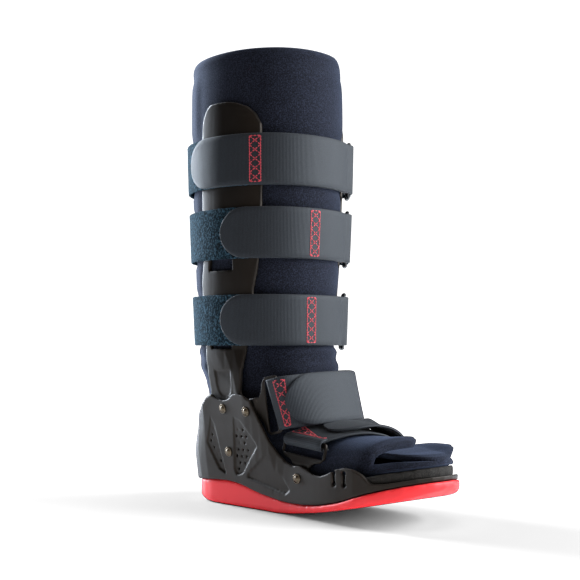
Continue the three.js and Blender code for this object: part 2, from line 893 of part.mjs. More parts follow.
// Near upright: a thin curved plate from inside the shell to below the rim
function uprightNear() {
  const columns = 4;
  const grid = (outward) => uprightRows.map((row) => {
    const z = uprightHeight(row[0]);
    const middle = along(uprightPlace);
    const front = middle - row[1] * uprightWide;
    const rear = middle - row[2] * uprightWide;
    const line = [];
    for (let c = 0; c <= columns; c += 1) {
      const y = lerp(front, rear, c / columns);
      line.push(new THREE.Vector3(-(uprightIn(y, z) + outward), y, z));
    }
    return line;
  });
  const plate = wallBetween(grid(uprightWall), grid(0));
  const tools = [
    ...windowRows.map(([low, high]) => uprightTool(low, high, windowHalf, uprightWall * 3, false)),
    uprightTool(tongueRow[0], tongueRow[1], tongueHalf, tongueDeep, true),
    rivetBore(rivetRows.upper),
    rivetBore(rivetRows.lower),
  ];
  return cutFrom(plate, tools);
}

// Rivet: a low domed head outside the shell and a shank through what it holds
function rivetNear(rows, held) {
  const { y, z } = cuffPoint(rows);
  const radius = rivetHead / 2;
  const shank = rivetShank / 2;
  const depth = shellWall + held;
  const profile = [
    new THREE.Vector2(0, -depth),
    new THREE.Vector2(shank, -depth),
    new THREE.Vector2(shank, seat),
    new THREE.Vector2(radius, seat),
    new THREE.Vector2(radius * 0.75, seat + rivetRise * 0.8),
    new THREE.Vector2(0, seat + rivetRise),
  ];
  const made = new THREE.LatheGeometry(profile, 7);
  made.applyQuaternion(new THREE.Quaternion().setFromUnitVectors(
    new THREE.Vector3(0, 1, 0),
    wallFacing(y),
  ));
  const at = wallPoint(y, z, 0);
  return made.translate(at.x, at.y, at.z);
}

// Webbing follows a path of stations: distance along the base, height off it, the
// way that the webbing's face looks (along, off), and its half width's share
function ribbon(base, stations, halfWidth, thickness) {
  const rings = stations.map((station) => {
    const half = halfWidth * station.wide;
    const side = thickness / 2;
    const low = [station.s - station.faceS * side, station.n - station.faceN * side];
    const high = [station.s + station.faceS * side, station.n + station.faceN * side];
    return [
      base(low[0], -half, low[1]),
      base(high[0], -half, high[1]),
      base(high[0], half, high[1]),
      base(low[0], half, low[1]),
    ];
  });
  return loft(rings);
}

// Stations along a straight or easing stretch of webbing
function stretch(from, to, startHeight, endHeight, steps) {
  const list = [];
  for (let i = 0; i < steps; i += 1) {
    const t = i / steps;
    const ease = t * t * (3 - 2 * t);
    list.push({
      s: lerp(from, to, t),
      n: lerp(startHeight, endHeight, ease),
      faceS: 0,
      faceN: Math.sign(to - from),
      wide: 1,
    });
  }
  return list;
}

// Half a turn round a bar: way is 1 where the bar lies ahead along the base
function foldRound(place, height, radius, way, steps) {
  const list = [];
  for (let i = 0; i <= steps; i += 1) {
    const turn = i / steps * Math.PI;
    const faceS = -Math.sin(turn);
    const faceN = Math.cos(turn);
    list.push({
      s: place - way * radius * faceS,
      n: height - radius * faceN,
      faceS,
      faceN: way * faceN,
      wide: 1,
    });
  }
  return list;
}

// The rounded end of a tab: its half width shrinks along a half round
function tabEnd(to, way, height, length) {
  const list = [];
  const steps = 6;
  for (let i = 0; i <= steps; i += 1) {
    const turn = i / steps * 80 * degree;
    list.push({
      s: to - way * length * (1 - Math.sin(turn)),
      n: height,
      faceS: 0,
      faceN: way,
      wide: Math.cos(turn),
    });
  }
  return list;
}

const layerOne = seat + webThick / 2;
const layerTwo = layerOne + webThick + seat;

// Heights of the three leg straps' middles, as rise shares
const legStraps = [
  { name: 'top', height: 1.629, stitch: 49, tab: 111 },
  { name: 'middle', height: 1.388, stitch: 6.5, tab: 77 },
  { name: 'lower', height: 1.099, stitch: 8, tab: 79 },
];
const frontBar = -40;
const bandFront = 54;
const girthSquare = 2.35;
const strapScale = legWidth / 2;

// The line round the leg that a strap lies on: over the liner and the uprights
function girthPoint(middle, turn, across, off) {
  const z = middle + across;
  const side = legHalfAt(z) + uprightSeat + uprightWall + strapEase;
  const deep = legDeepAt(z) + strapEase;
  const s = Math.abs(Math.sin(turn)) / side;
  const c = Math.abs(Math.cos(turn)) / deep;
  const radius = (s ** girthSquare + c ** girthSquare) ** (-1 / girthSquare) + off;
  return new THREE.Vector3(
    -radius * Math.sin(turn),
    legMiddleAt(z) - radius * Math.cos(turn),
    z,
  );
}

// Base of a leg strap: distance round the leg from the front towards the near side
function legBase(strap) {
  const middle = rise(strap.height);
  return (s, across, off) => girthPoint(middle, s / strapScale, across, off);
}

const ringRadius = ringWire / 2;
const ringHeight = layerOne + webThick / 2 + ringEase + ringRadius;
const ringFold = ringRadius + ringEase + webThick / 2;
const frontBarPlace = frontBar * degree * strapScale;
const rearBarPlace = frontBarPlace - ringSpan;
const bandFrontPlace = bandFront * degree * strapScale;

// Leg strap: from the near side round the front, round the ring's front bar, and
// back over itself to a rounded tab on the near side
function legWebbing(strap) {
  const tab = strap.tab * degree * strapScale;
  const half = webWidth / 2;
  const under = ringHeight - ringFold;
  const over = ringHeight + ringFold;
  const stations = [
    ...stretch(bandFrontPlace - seat * 3, frontBarPlace, layerOne, under, 11),
    ...foldRound(frontBarPlace, ringHeight, ringFold, -1, 6),
    ...stretch(frontBarPlace + 1, frontBarPlace + half / 2, over, layerTwo, 4),
    ...stretch(frontBarPlace + half / 2, tab - half, layerTwo, layerTwo, 13),
    ...tabEnd(tab, 1, layerTwo, half),
  ];
  return ribbon(legBase(strap), stations, half, webThick);
}

// Loop band: from under the tab round the back to the ring's rear bar, where it
// folds back on itself
function loopBand(strap) {
  const half = webWidth / 2;
  const back = rearBarPlace + 2 * Math.PI * strapScale;
  const under = ringHeight - ringFold;
  const over = ringHeight + ringFold;
  const stations = [
    ...stretch(bandFrontPlace, back - half, layerOne, layerOne, 22),
    ...stretch(back - half, back, layerOne, under, 3),
    ...foldRound(back, ringHeight, ringFold, 1, 6),
    ...stretch(back - 1, back - half / 2, over, layerTwo, 4),
    ...stretch(back - half / 2, back - half, layerTwo, layerTwo, 2),
    { s: back - half, n: layerTwo, faceS: 0, faceN: -1, wide: 1 },
  ];
  return ribbon(legBase(strap), stations, half, webThick);
}

// Ring: a rounded rectangle of wire standing round two bars
function ring(strap) {
  const base = legBase(strap);
  const high = webWidth / 2 + ringOver - ringRadius;
  const corner = ringSpan / 4;
  const corners = [
    [frontBarPlace - corner, high - corner, 0],
    [rearBarPlace + corner, high - corner, 1],
    [rearBarPlace + corner, -high + corner, 2],
    [frontBarPlace - corner, -high + corner, 3],
  ];
  const path = corners.flatMap(([s, across, quarter]) => [0, 1, 2].map((i) => {
    const turn = (quarter + i / 2) * Math.PI / 2;
    return base(s + corner * Math.cos(turn), across + corner * Math.sin(turn), ringHeight);
  }));
  return wireLoop(path, ringRadius, 6);
}

// Wire along a closed path
function wireLoop(path, radius, sides) {
  const count = path.length;
  const middle = path.reduce((sum, p) => sum.add(p), new THREE.Vector3()).multiplyScalar(1 / count);
  const rings = path.map((p, i) => {
    const before = path[(i + count - 1) % count];
    const after = path[(i + 1) % count];
    const run = after.clone().sub(before).normalize();
    const out = p.clone().sub(middle);
    out.addScaledVector(run, -out.dot(run)).normalize();
    const up = run.clone().cross(out);
    return Array.from({ length: sides }, (_, k) => {
      const turn = k / sides * 2 * Math.PI;
      return p.clone()
        .addScaledVector(out, radius * Math.cos(turn))
        .addScaledVector(up, radius * Math.sin(turn));
    });
  });
  return loft(rings, true);
}

// Brackets: a flat tee with a slot, riveted inside the shell and bent in towards
// the foot. Each row has the rivet it hangs on, the way its neck points (degrees up
// from forwards), how far out its bar is, and how much its head leans in (degrees)
const neckHalf = 9.5;
const neckTail = 3.6;
const bendAt = 12;
const bracketSeat = 0.7;
const slotHalf = webWidth / 2 + 1;
const headHalf = slotHalf + 2.5;
const headCorner = 4;
const brackets = {
  instep_near: { rivet: 'instep', side: -1, point: 12, barAt: 42.7, lean: 11 },
  instep_far: { rivet: 'instep', side: 1, point: 16, barAt: 42.7, lean: 27 },
  forefoot_near: { rivet: 'forefoot', side: -1, point: 85, barAt: 30, lean: 12 },
  forefoot_far: { rivet: 'forefoot', side: 1, point: 68, barAt: 32, lean: 3 },
};

// A bracket's neck and head frames on the near side, before a far one is mirrored
function bracketFrame(row) {
  const { y, z } = cuffPoint(rivetRows[row.rivet]);
  const facing = wallFacing(y);
  const level = new THREE.Vector3(0, -1, 0);
  const upward = facing.clone().cross(level).normalize();
  const turn = row.point * degree;
  const forward = level.clone().multiplyScalar(Math.cos(turn))
    .addScaledVector(upward, Math.sin(turn));
  const across = facing.clone().cross(forward).normalize();
  const origin = wallPoint(y, z, 0)
    .addScaledVector(facing, -(shellWall + bracketSeat + bracketWall));
  const lean = row.lean * degree;
  const bend = origin.clone().addScaledVector(forward, bendAt);
  const headForward = forward.clone().applyAxisAngle(across, -lean);
  const headFacing = facing.clone().applyAxisAngle(across, -lean);
  if (headForward.x < forward.x) {
    headForward.copy(forward).applyAxisAngle(across, lean);
    headFacing.copy(facing).applyAxisAngle(across, lean);
  }
  const bar = bend.clone()
    .addScaledVector(headForward, row.barAt - bendAt)
    .addScaledVector(headFacing, bracketWall / 2);
  return { origin, facing, forward, across, bend, headForward, headFacing, bar };
}

// A flat shape stood up as a plate: shape x along the neck, shape y across it
function plate(shape, origin, forward, across, facing) {
  const made = new THREE.ExtrudeGeometry(shape, {
    depth: bracketWall,
    bevelEnabled: false,
    curveSegments: 4,
  });
  const basis = new THREE.Matrix4().makeBasis(forward, across, facing).setPosition(origin);
  return made.applyMatrix4(basis);
}

function outlineShape(corners) {
  return new THREE.Shape(corners.map(([x, y]) => new THREE.Vector2(x, y)));
}

function bracketNear(row) {
  const frame = bracketFrame(row);
  const neck = outlineShape([
    [-neckTail, -neckHalf * 0.3],
    [-neckTail * 0.4, -neckHalf * 0.6],
    [neckTail, -neckHalf],
    [bendAt + 1, -neckHalf],
    [bendAt + 1, neckHalf],
    [neckTail, neckHalf],
    [-neckTail * 0.4, neckHalf * 0.6],
    [-neckTail, neckHalf * 0.3],
  ]);
  const barEnd = row.barAt - bendAt + barWidth / 2;
  const slotFront = barEnd - barWidth;
  const slotBack = slotFront - slotLength;
  const headBack = slotBack - barWidth;
  const half = [
    [-1, neckHalf],
    [headBack - headCorner, neckHalf],
    [headBack, neckHalf + headCorner],
    [headBack + headCorner / 2, headHalf - headCorner],
    [headBack + headCorner * 1.5, headHalf],
    [barEnd - headCorner, headHalf],
    [barEnd - headCorner * 0.3, headHalf - headCorner * 0.3],
    [barEnd, headHalf - headCorner],
  ];
  const head = outlineShape([
    ...half.map(([x, y]) => [x, -y]),
    ...half.slice().reverse(),
  ]);
  head.holes.push(new THREE.Path([
    new THREE.Vector2(slotBack, -slotHalf),
    new THREE.Vector2(slotBack, slotHalf),
    new THREE.Vector2(slotFront, slotHalf),
    new THREE.Vector2(slotFront, -slotHalf),
  ]));
  const neckPlate = plate(neck, frame.origin, frame.forward, frame.across, frame.facing);
  const headPlate = plate(head, frame.bend, frame.headForward, frame.across, frame.headFacing);
  const joined = solidOf(neckPlate).add(solidOf(headPlate));
  return geometryOf(joined.subtract(solidOf(rivetBore(rivetRows[row.rivet]))));
}

function bracket(row) {
  const near = bracketNear(row);
  return row.side < 0 ? near : mirrored(near);
}

// The bar's middle, the way the head points, and the way along the bar, on the
// bracket's own side of the boot
function barFrame(row) {
  const frame = bracketFrame(row);
  const flip = new THREE.Vector3(row.side < 0 ? 1 : -1, 1, 1);
  const barRun = frame.across.clone();
  if (barRun.z < 0 || (Math.abs(barRun.z) < 0.5 && barRun.y < 0)) barRun.negate();
  return {
    bar: frame.bar.clone().multiply(flip),
    forward: frame.headForward.clone().multiply(flip),
    across: barRun.multiply(flip),
  };
}

// Foot straps: the two brackets, how far the strap runs straight off each bar, and
// the tilt of its width over the foot's middle (degrees up from level, rear edge)
const footStraps = [
  { name: 'instep', reach: 15, tilt: 64, tab: 15, forward: -1.5, lift: 4.2 },
  { name: 'forefoot', reach: 13, tilt: 8, tab: 17, forward: 16, lift: -1.2 },
];
const sewnTail = 18;
const barCorner = 0.4;
const barLead = 4.6;
const foldEase = 0.5;
const foldHeight = bracketWall / 2 + foldEase + webThick / 2;
const foldPlace = barWidth / 2 - bracketWall / 2 + barCorner;

// Base of a foot strap: a smooth bridge from the near bar to the far one. It leaves
// each bar along the bracket's head, and its middle is pushed forward and up
function bridgeBase(strap) {
  const near = barFrame(brackets[`${strap.name}_near`]);
  const far = barFrame(brackets[`${strap.name}_far`]);
  const curve = new THREE.CubicBezierCurve3(
    near.bar.clone().addScaledVector(near.forward, barLead),
    near.bar.clone().addScaledVector(near.forward, barLead + strap.reach),
    far.bar.clone().addScaledVector(far.forward, barLead + strap.reach),
    far.bar.clone().addScaledVector(far.forward, barLead),
  );
  const push = new THREE.Vector3(0, -strap.forward, strap.lift);
  const tilt = strap.tilt * degree;
  const middleWide = new THREE.Vector3(0, Math.cos(tilt), Math.sin(tilt));
  const bow = (t) => 16 * t * t * (1 - t) * (1 - t);
  const middle = (t) => curve.getPoint(t).addScaledVector(push, bow(t));
  const steps = 80;
  const lengths = [0];
  for (let i = 1; i <= steps; i += 1) {
    lengths.push(lengths[i - 1] + middle(i / steps).distanceTo(middle((i - 1) / steps)));
  }
  const bridge = lengths[steps];
  const shareOf = lineOf(lengths.map((value, i) => [value, i / steps]), 0, 1);
  const base = (s, across, off) => {
    const held = clamp(s - barLead, 0, bridge);
    const t = shareOf(held);
    const before = Math.max(t - 0.5 / steps, 0);
    const after = Math.min(t + 0.5 / steps, 1);
    const run = middle(after).sub(middle(before)).normalize();
    if (s <= barLead) run.copy(near.forward);
    if (s >= barLead + bridge) run.copy(far.forward).negate();
    const point = middle(t).addScaledVector(run, s - barLead - held);
    const wide = near.across.clone().lerp(far.across, t).lerp(middleWide, bow(t));
    wide.addScaledVector(run, -wide.dot(run)).normalize();
    const out = run.clone().cross(wide).normalize();
    return point.addScaledVector(wide, across).addScaledVector(out, off);
  };
  return { base, length: bridge + barLead * 2 };
}

// Foot strap: folded round the near bar and sewn to itself, over the foot, round
// the far bar and back to a rounded tab
function footWebbing(strap) {
  const { base, length } = bridgeBase(strap);
  const half = webWidth / 2;
  const overHeight = foldHeight * 2;
  const stations = [
    ...stretch(sewnTail, barLead, -foldHeight, -foldHeight, 2),
    ...stretch(barLead, -foldPlace, -foldHeight, -foldHeight, 1),
    ...foldRound(-foldPlace, 0, foldHeight, -1, 6),
    ...stretch(barLead, length - barLead, foldHeight, -foldHeight, 13),
    ...stretch(length - barLead, length + foldPlace, -foldHeight, -foldHeight, 1),
    ...foldRound(length + foldPlace, 0, foldHeight, 1, 6),
    ...stretch(length - barLead, strap.tab + half, foldHeight, overHeight, 9),
    ...tabEnd(strap.tab, -1, overHeight, half),
  ];
  return ribbon(base, stations, half, webThick);
}

// Finishes
function finish(color, roughness, metalness = 0) {
  return new THREE.MeshStandardMaterial({ color, roughness, metalness, side: THREE.FrontSide });
}

const finishes = {
  rubber: finish(0xe8474a, 0.55),
  shell: finish(0x37332f, 0.5),
  upright: finish(0x2a2725, 0.42),
  plush: finish(0x23243a, 0.95),
  foam: finish(0x5a5450, 0.9),
  webbing: finish(0x3a3f45, 0.8),
  loop: finish(0x151c22, 0.95),
  wire: finish(0x101112, 0.4),
  rivet: finish(0x9a8f80, 0.35, 0.9),
};

const boot = new THREE.Group();

function place(name, geometry, material) {
  const mesh = new THREE.Mesh(geometry, finishes[material].clone());
  mesh.name = name;
  boot.add(mesh);
}

place('outsole', outsole(), 'rubber');
place('shell', shell(), 'shell');
place('insole', insole(), 'foam');
place('liner', liner(), 'plush');

const upright = uprightNear();
place('upright_near', upright, 'upright');
place('upright_far', mirrored(upright), 'upright');

for (const strap of legStraps) {
  place(`strap_${strap.name}`, legWebbing(strap), 'webbing');
  place(`loop_band_${strap.name}`, loopBand(strap), 'loop');
  place(`ring_${strap.name}`, ring(strap), 'wire');
}

for (const strap of footStraps) {
  place(`strap_${strap.name}`, footWebbing(strap), 'webbing');
}

for (const [name, row] of Object.entries(brackets)) {
  place(`bracket_${name}`, bracket(row), 'upright');
}

for (const [name, rows] of Object.entries(rivetRows)) {
  const held = name === 'upper' || name === 'lower'
    ? uprightSeat + uprightWall
    : bracketSeat + bracketWall;
  const rivet = rivetNear(rows, held);
  place(`rivet_${name}_near`, rivet, 'rivet');
  place(`rivet_${name}_far`, mirrored(rivet), 'rivet');
}

export default boot;
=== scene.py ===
# %% [markdown]
# A tall medical walking boot, dressed in Blender round its solid model. The solids
# give every place and size. This file gives each piece the form and the finish that
# the hand and the eye would meet. Everything is in metres: +Z is up, the toe points
# towards -Y, and the side nearest the camera is -X.

# %% Load the solid model
import bisect
import math

import bmesh
import bpy
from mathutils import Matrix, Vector, noise


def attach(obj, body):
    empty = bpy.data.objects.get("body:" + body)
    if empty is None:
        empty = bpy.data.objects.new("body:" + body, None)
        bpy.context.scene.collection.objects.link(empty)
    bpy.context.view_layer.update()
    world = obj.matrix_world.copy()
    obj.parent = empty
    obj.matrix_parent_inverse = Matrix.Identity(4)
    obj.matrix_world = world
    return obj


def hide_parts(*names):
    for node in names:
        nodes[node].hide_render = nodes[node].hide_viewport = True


# A set seed gives the loop bands the same roughness each time
noise.seed_set(1)
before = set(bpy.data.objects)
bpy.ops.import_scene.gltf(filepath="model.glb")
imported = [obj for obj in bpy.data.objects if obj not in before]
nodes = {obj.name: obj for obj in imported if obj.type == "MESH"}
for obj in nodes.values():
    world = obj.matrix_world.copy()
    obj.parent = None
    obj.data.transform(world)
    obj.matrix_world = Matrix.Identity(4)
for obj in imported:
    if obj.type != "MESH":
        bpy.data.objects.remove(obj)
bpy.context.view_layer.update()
MM = 0.001
print("solid pieces:", len(nodes))

# %% [markdown]
# The camera stands low and near, turned a little to the boot's outer side, as a
# product photographer would stand. The lens is long enough to keep the leg upright.
# The picture is shifted up, in place of tilting the camera, so upright lines stay so.

# %% Camera
camera = bpy.data.objects.new("camera", bpy.data.cameras.new("camera"))
bpy.context.scene.collection.objects.link(camera)
camera.location = (-0.6597, -0.7318, 0.143)
looking = Vector((0.6756, 0.7373, 0.0))
camera.rotation_mode = "QUATERNION"
camera.rotation_quaternion = looking.to_track_quat("-Z", "Y")
camera.data.sensor_width = 36.0
camera.data.lens = 67.47
camera.data.shift_y = 0.0948
bpy.context.scene.camera = camera
print("lens:", camera.data.lens)

# %% [markdown]
# Nodes are set down in the same way in every tree here, so a few short helpers do it.
# One adds a node, one sets its inputs, and two join sockets.

# %% Node helpers
def add(tree, kind, **settings):
    node = tree.nodes.new(kind)
    for key, value in settings.items():
        setattr(node, key, value)
    return node


def set_inputs(node, **values):
    for key, value in values.items():
        node.inputs[key.replace("_", " ")].default_value = value


def link(tree, source, target):
    tree.links.new(source, target)


def join(tree, source, out, target, into):
    tree.links.new(source.outputs[out], target.inputs[into])


# %% [markdown]
# One big lamp stands front right. A cooler one straight behind draws a thin bright line
# down the back edges, a weak warm one fills the near side, and a soft one hangs overhead.
# The backdrop is plain white. Only the camera sees it, so it sends no light to the boot.

# %% Lamps and backdrop
def area_light(name, place, target, size, power, colour):
    lamp = bpy.data.lights.new(name, "AREA")
    lamp.shape = "RECTANGLE"
    lamp.size = size[0]
    lamp.size_y = size[1]
    lamp.energy = power
    lamp.color = colour
    holder = bpy.data.objects.new(name, lamp)
    bpy.context.scene.collection.objects.link(holder)
    holder.location = place
    aim = Vector(target) - Vector(place)
    holder.rotation_mode = "QUATERNION"
    holder.rotation_quaternion = aim.to_track_quat("-Z", "Y")
    return holder


area_light("key", (1.0, -1.05, 0.65), (0, 0, 0.2), (1.1, 1.1), 58, (0.86, 0.93, 1.0))
area_light("rim", (-0.12, 1.3, 0.6), (0, 0, 0.22), (0.35, 1.1), 60, (0.78, 0.88, 1.0))
area_light("fill", (-1.3, -0.6, 0.6), (0, 0, 0.15), (0.9, 0.9), 1.5, (1.0, 0.86, 0.74))
area_light("top", (0.1, -0.1, 1.6), (0, 0, 0.2), (1.2, 1.2), 9, (0.94, 0.97, 1.0))

WHITE = (1.0, 1.0, 1.0, 1.0)
world = bpy.data.worlds.new("studio")
bpy.context.scene.world = world
world.use_nodes = True
sky = world.node_tree
soft_light = sky.nodes["Background"]
set_inputs(soft_light, Color=WHITE, Strength=0.09)
backdrop = add(sky, "ShaderNodeBackground")
set_inputs(backdrop, Color=WHITE, Strength=1.3)
seen = add(sky, "ShaderNodeLightPath")
either = add(sky, "ShaderNodeMixShader")
join(sky, seen, "Is Camera Ray", either, "Fac")
join(sky, soft_light, "Background", either, 1)
join(sky, backdrop, "Background", either, 2)
join(sky, either, "Shader", sky.nodes["World Output"], "Surface")
bpy.context.scene.view_settings.view_transform = "Standard"

# %% [markdown]
# The floor reaches far past the picture. It catches shadows and is otherwise not seen,
# so the boot stands on white with its own soft shadow beside it.

# %% Floor
FLOOR_REACH = 40.0
floor_mesh = bpy.data.meshes.new("floor")
corners = [(x * FLOOR_REACH, y * FLOOR_REACH, 0) for x, y in ((-1, -1), (1, -1), (1, 1), (-1, 1))]
floor_mesh.from_pydata(corners, [], [(0, 1, 2, 3)])
floor = bpy.data.objects.new("floor", floor_mesh)
bpy.context.scene.collection.objects.link(floor)
floor_paint = bpy.data.materials.new("floor_paint")
floor_paint.use_nodes = True
floor_shader = floor_paint.node_tree.nodes["Principled BSDF"]
set_inputs(floor_shader, Base_Color=(0.9, 0.9, 0.9, 1), Roughness=0.8, Specular_IOR_Level=0.1)
floor_mesh.materials.append(floor_paint)
floor.is_shadow_catcher = True
print("floor, m across:", 2 * FLOOR_REACH)

# %% [markdown]
# Three effects turn up on more than one finish, so each is a node group that is built
# once. Speckle gives cloth and foam their two mixed tones. Grain gives mouldings the
# fine tooth of their steel mould. Edge highlight finds the ridges, where plastic shines,
# and marks them for a painted highlight.

# %% Shader groups
def shader_group(name, inputs, outputs):
    tree = bpy.data.node_groups.new(name, "ShaderNodeTree")
    for label, kind, value in inputs:
        socket = tree.interface.new_socket(label, in_out="INPUT", socket_type=kind)
        socket.default_value = value
    for label, kind in outputs:
        tree.interface.new_socket(label, in_out="OUTPUT", socket_type=kind)
    return tree, tree.nodes.new("NodeGroupInput"), tree.nodes.new("NodeGroupOutput")


FLOAT = "NodeSocketFloat"
COLOUR = "NodeSocketColor"


def spread_between(tree, start, source, out):
    """Spread a value smoothly from the group's Low to its High"""
    spread = add(tree, "ShaderNodeMapRange", interpolation_type="SMOOTHSTEP")
    join(tree, source, out, spread, "Value")
    join(tree, start, "Low", spread, "From Min")
    join(tree, start, "High", spread, "From Max")
    return spread


def speckle_group():
    tree, start, end = shader_group(
        "speckle",
        [("Scale", FLOAT, 1500.0), ("Dark", COLOUR, (0, 0, 0, 1)), ("Light", COLOUR, (1, 1, 1, 1)),
         ("Low", FLOAT, 0.4), ("High", FLOAT, 0.7)],
        [("Color", COLOUR), ("Height", FLOAT)])
    place = add(tree, "ShaderNodeTexCoord")
    fine = add(tree, "ShaderNodeTexNoise")
    set_inputs(fine, Detail=3.0, Roughness=0.65)
    spread = spread_between(tree, start, fine, "Fac")
    mix = add(tree, "ShaderNodeMix", data_type="RGBA")
    join(tree, place, "Object", fine, "Vector")
    join(tree, start, "Scale", fine, "Scale")
    join(tree, spread, "Result", mix, "Factor")
    join(tree, start, "Dark", mix, "A")
    join(tree, start, "Light", mix, "B")
    join(tree, mix, "Result", end, "Color")
    join(tree, fine, "Fac", end, "Height")
    return tree


def grain_group():
    tree, start, end = shader_group(
        "grain", [("Scale", FLOAT, 1400.0)], [("Height", FLOAT), ("Patches", FLOAT)])
    place = add(tree, "ShaderNodeTexCoord")
    cells = add(tree, "ShaderNodeTexVoronoi", feature="SMOOTH_F1")
    patches = add(tree, "ShaderNodeTexNoise")
    set_inputs(patches, Scale=60.0, Detail=4.0)
    join(tree, place, "Object", cells, "Vector")
    join(tree, place, "Object", patches, "Vector")
    join(tree, start, "Scale", cells, "Scale")
    join(tree, cells, "Distance", end, "Height")
    join(tree, patches, "Fac", end, "Patches")
    return tree


def edge_highlight_group():
    tree, start, end = shader_group(
        "painted edge highlight", [("Low", FLOAT, 0.52), ("High", FLOAT, 0.62)], [("Mask", FLOAT)])
    # Ridges lie where pointiness is high, and the painted highlight is laid there.
    spread = spread_between(tree, start, add(tree, "ShaderNodeNewGeometry"), "Pointiness")
    join(tree, spread, "Result", end, "Mask")
    return tree


speckle = speckle_group()
grain = grain_group()
painted_edge_highlight = edge_highlight_group()
print("groups:", [g.name for g in bpy.data.node_groups])

# %% [markdown]
# Each finish is a short function. Constant values, such as a sheen or a clearcoat,
# sit on the shader itself, so that they survive export. Only what changes over the
# surface comes through nodes.

# %% Finishes: helpers
def shade(hex_colour):
    channels = [int(hex_colour[i:i + 2], 16) / 255 for i in (0, 2, 4)]
    linear = [c / 12.92 if c <= 0.04045 else ((c + 0.055) / 1.055) ** 2.4 for c in channels]
    return (*linear, 1.0)


def finish(name, colour, roughness, **constants):
    material = bpy.data.materials.new(name)
    material.use_nodes = True
    shader = material.node_tree.nodes["Principled BSDF"]
    set_inputs(shader, Base_Color=shade(colour), Roughness=roughness)
    set_inputs(shader, **constants)
    return material, material.node_tree, shader


def placed_group(tree, group, **values):
    node = add(tree, "ShaderNodeGroup", node_tree=group)
    set_inputs(node, **values)
    return node


def bumped(tree, shader, height, distance, strength):
    bump = add(tree, "ShaderNodeBump")
    set_inputs(bump, Distance=distance, Strength=strength)
    link(tree, height, bump.inputs["Height"])
    join(tree, bump, "Normal", shader, "Normal")


def ranged(tree, value, low, high, new_low, new_high):
    node = add(tree, "ShaderNodeMapRange")
    set_inputs(node, From_Min=low, From_Max=high, To_Min=new_low, To_Max=new_high)
    link(tree, value, node.inputs["Value"])
    return node.outputs["Result"]


def patchy(tree, shader, tooth, smooth, rough):
    worn = ranged(tree, tooth.outputs["Patches"], 0.3, 0.7, smooth, rough)
    link(tree, worn, shader.inputs["Roughness"])


def mixed(tree, factor, first, second):
    node = add(tree, "ShaderNodeMix", data_type="RGBA")
    if isinstance(factor, float):
        node.inputs["Factor"].default_value = factor
    else:
        link(tree, factor, node.inputs["Factor"])
    for key, colour in (("A", first), ("B", second)):
        if isinstance(colour, tuple):
            node.inputs[key].default_value = colour
        else:
            link(tree, colour, node.inputs[key])
    return node.outputs["Result"]


# %% Finishes: moulded plastic and rubber
def moulded_plastic(name, colour, highlight_colour, roughness):
    material, tree, shader = finish(
        name, colour, roughness, Specular_IOR_Level=0.3, Specular_Tint=shade("f0dccb"))
    tooth = placed_group(tree, grain, Scale=1500.0)
    # The ridges are painted in the lighter highlight colour: a painted highlight where the plastic would
    # shine.
    edges = placed_group(tree, painted_edge_highlight, Low=0.515, High=0.60)
    tone = mixed(tree, edges.outputs["Mask"], shade(colour), shade(highlight_colour))
    link(tree, tone, shader.inputs["Base Color"])
    patchy(tree, shader, tooth, roughness - 0.05, roughness + 0.07)
    bumped(tree, shader, tooth.outputs["Height"], 0.00006, 0.5)
    return material


def sole_rubber():
    material, tree, shader = finish("sole_rubber", "fb3236", 0.5, Specular_IOR_Level=0.3)
    tooth = placed_group(tree, grain, Scale=1100.0)
    place = add(tree, "ShaderNodeTexCoord")
    split = add(tree, "ShaderNodeSeparateXYZ")
    join(tree, place, "Object", split, "Vector")
    # The red is painted darker towards the bottom of the sole and fades to the lighter red 30 mm up: a
    # painted shade.
    depth = ranged(tree, split.outputs["Z"], 0.0, 0.03, 0.0, 1.0)
    tone = mixed(tree, depth, shade("e0262b"), shade("ff3438"))
    link(tree, tone, shader.inputs["Base Color"])
    bumped(tree, shader, tooth.outputs["Height"], 0.00008, 0.5)
    return material


shell_plastic = moulded_plastic("shell_plastic", "15110e", "3d3732", 0.47)
upright_plastic = moulded_plastic("upright_plastic", "0e0b09", "322c27", 0.45)
red_rubber = sole_rubber()
print("moulded finishes:", shell_plastic.name, upright_plastic.name, red_rubber.name)


# %% Finishes: webbing
PICKS_SHARE = 0.15


def ribbed_webbing():
    material, tree, shader = finish(
        "ribbed_webbing", "24272c", 0.62, Sheen_Weight=0.08, Sheen_Roughness=0.4,
        Specular_IOR_Level=0.3)
    along = add(tree, "ShaderNodeUVMap", uv_map="weave")
    ribs, picks = [add(tree, "ShaderNodeTexWave", bands_direction=way) for way in ("X", "Y")]
    set_inputs(ribs, Scale=260.0, Distortion=0.6, Detail=1.0)
    set_inputs(picks, Scale=420.0, Distortion=0.8)
    join(tree, along, "UV", ribs, "Vector")
    join(tree, along, "UV", picks, "Vector")
    weave = add(tree, "ShaderNodeMath", operation="MULTIPLY_ADD")
    weave.inputs[1].default_value = PICKS_SHARE
    join(tree, picks, "Fac", weave, 0)
    join(tree, ribs, "Fac", weave, 2)
    lint = placed_group(tree, speckle, Scale=1600.0, Dark=shade("1f2125"), Light=shade("2c3036"),
                        Low=0.3, High=0.7)
    # Where the weave is low, in the grooves between the ribs, the cloth is painted darker: a painted
    # shade.
    painted_groove_shade = mixed(tree, 0.7, lint.outputs["Color"], shade("0c0d0f"))
    level = ranged(tree, weave.outputs["Value"], 0.0, 0.9, 0.0, 1.0)
    tone = mixed(tree, level, painted_groove_shade, lint.outputs["Color"])
    link(tree, tone, shader.inputs["Base Color"])
    bumped(tree, shader, weave.outputs["Value"], 0.0002, 0.5)
    return material


webbing_cloth = ribbed_webbing()
print("webbing finish:", webbing_cloth.name)


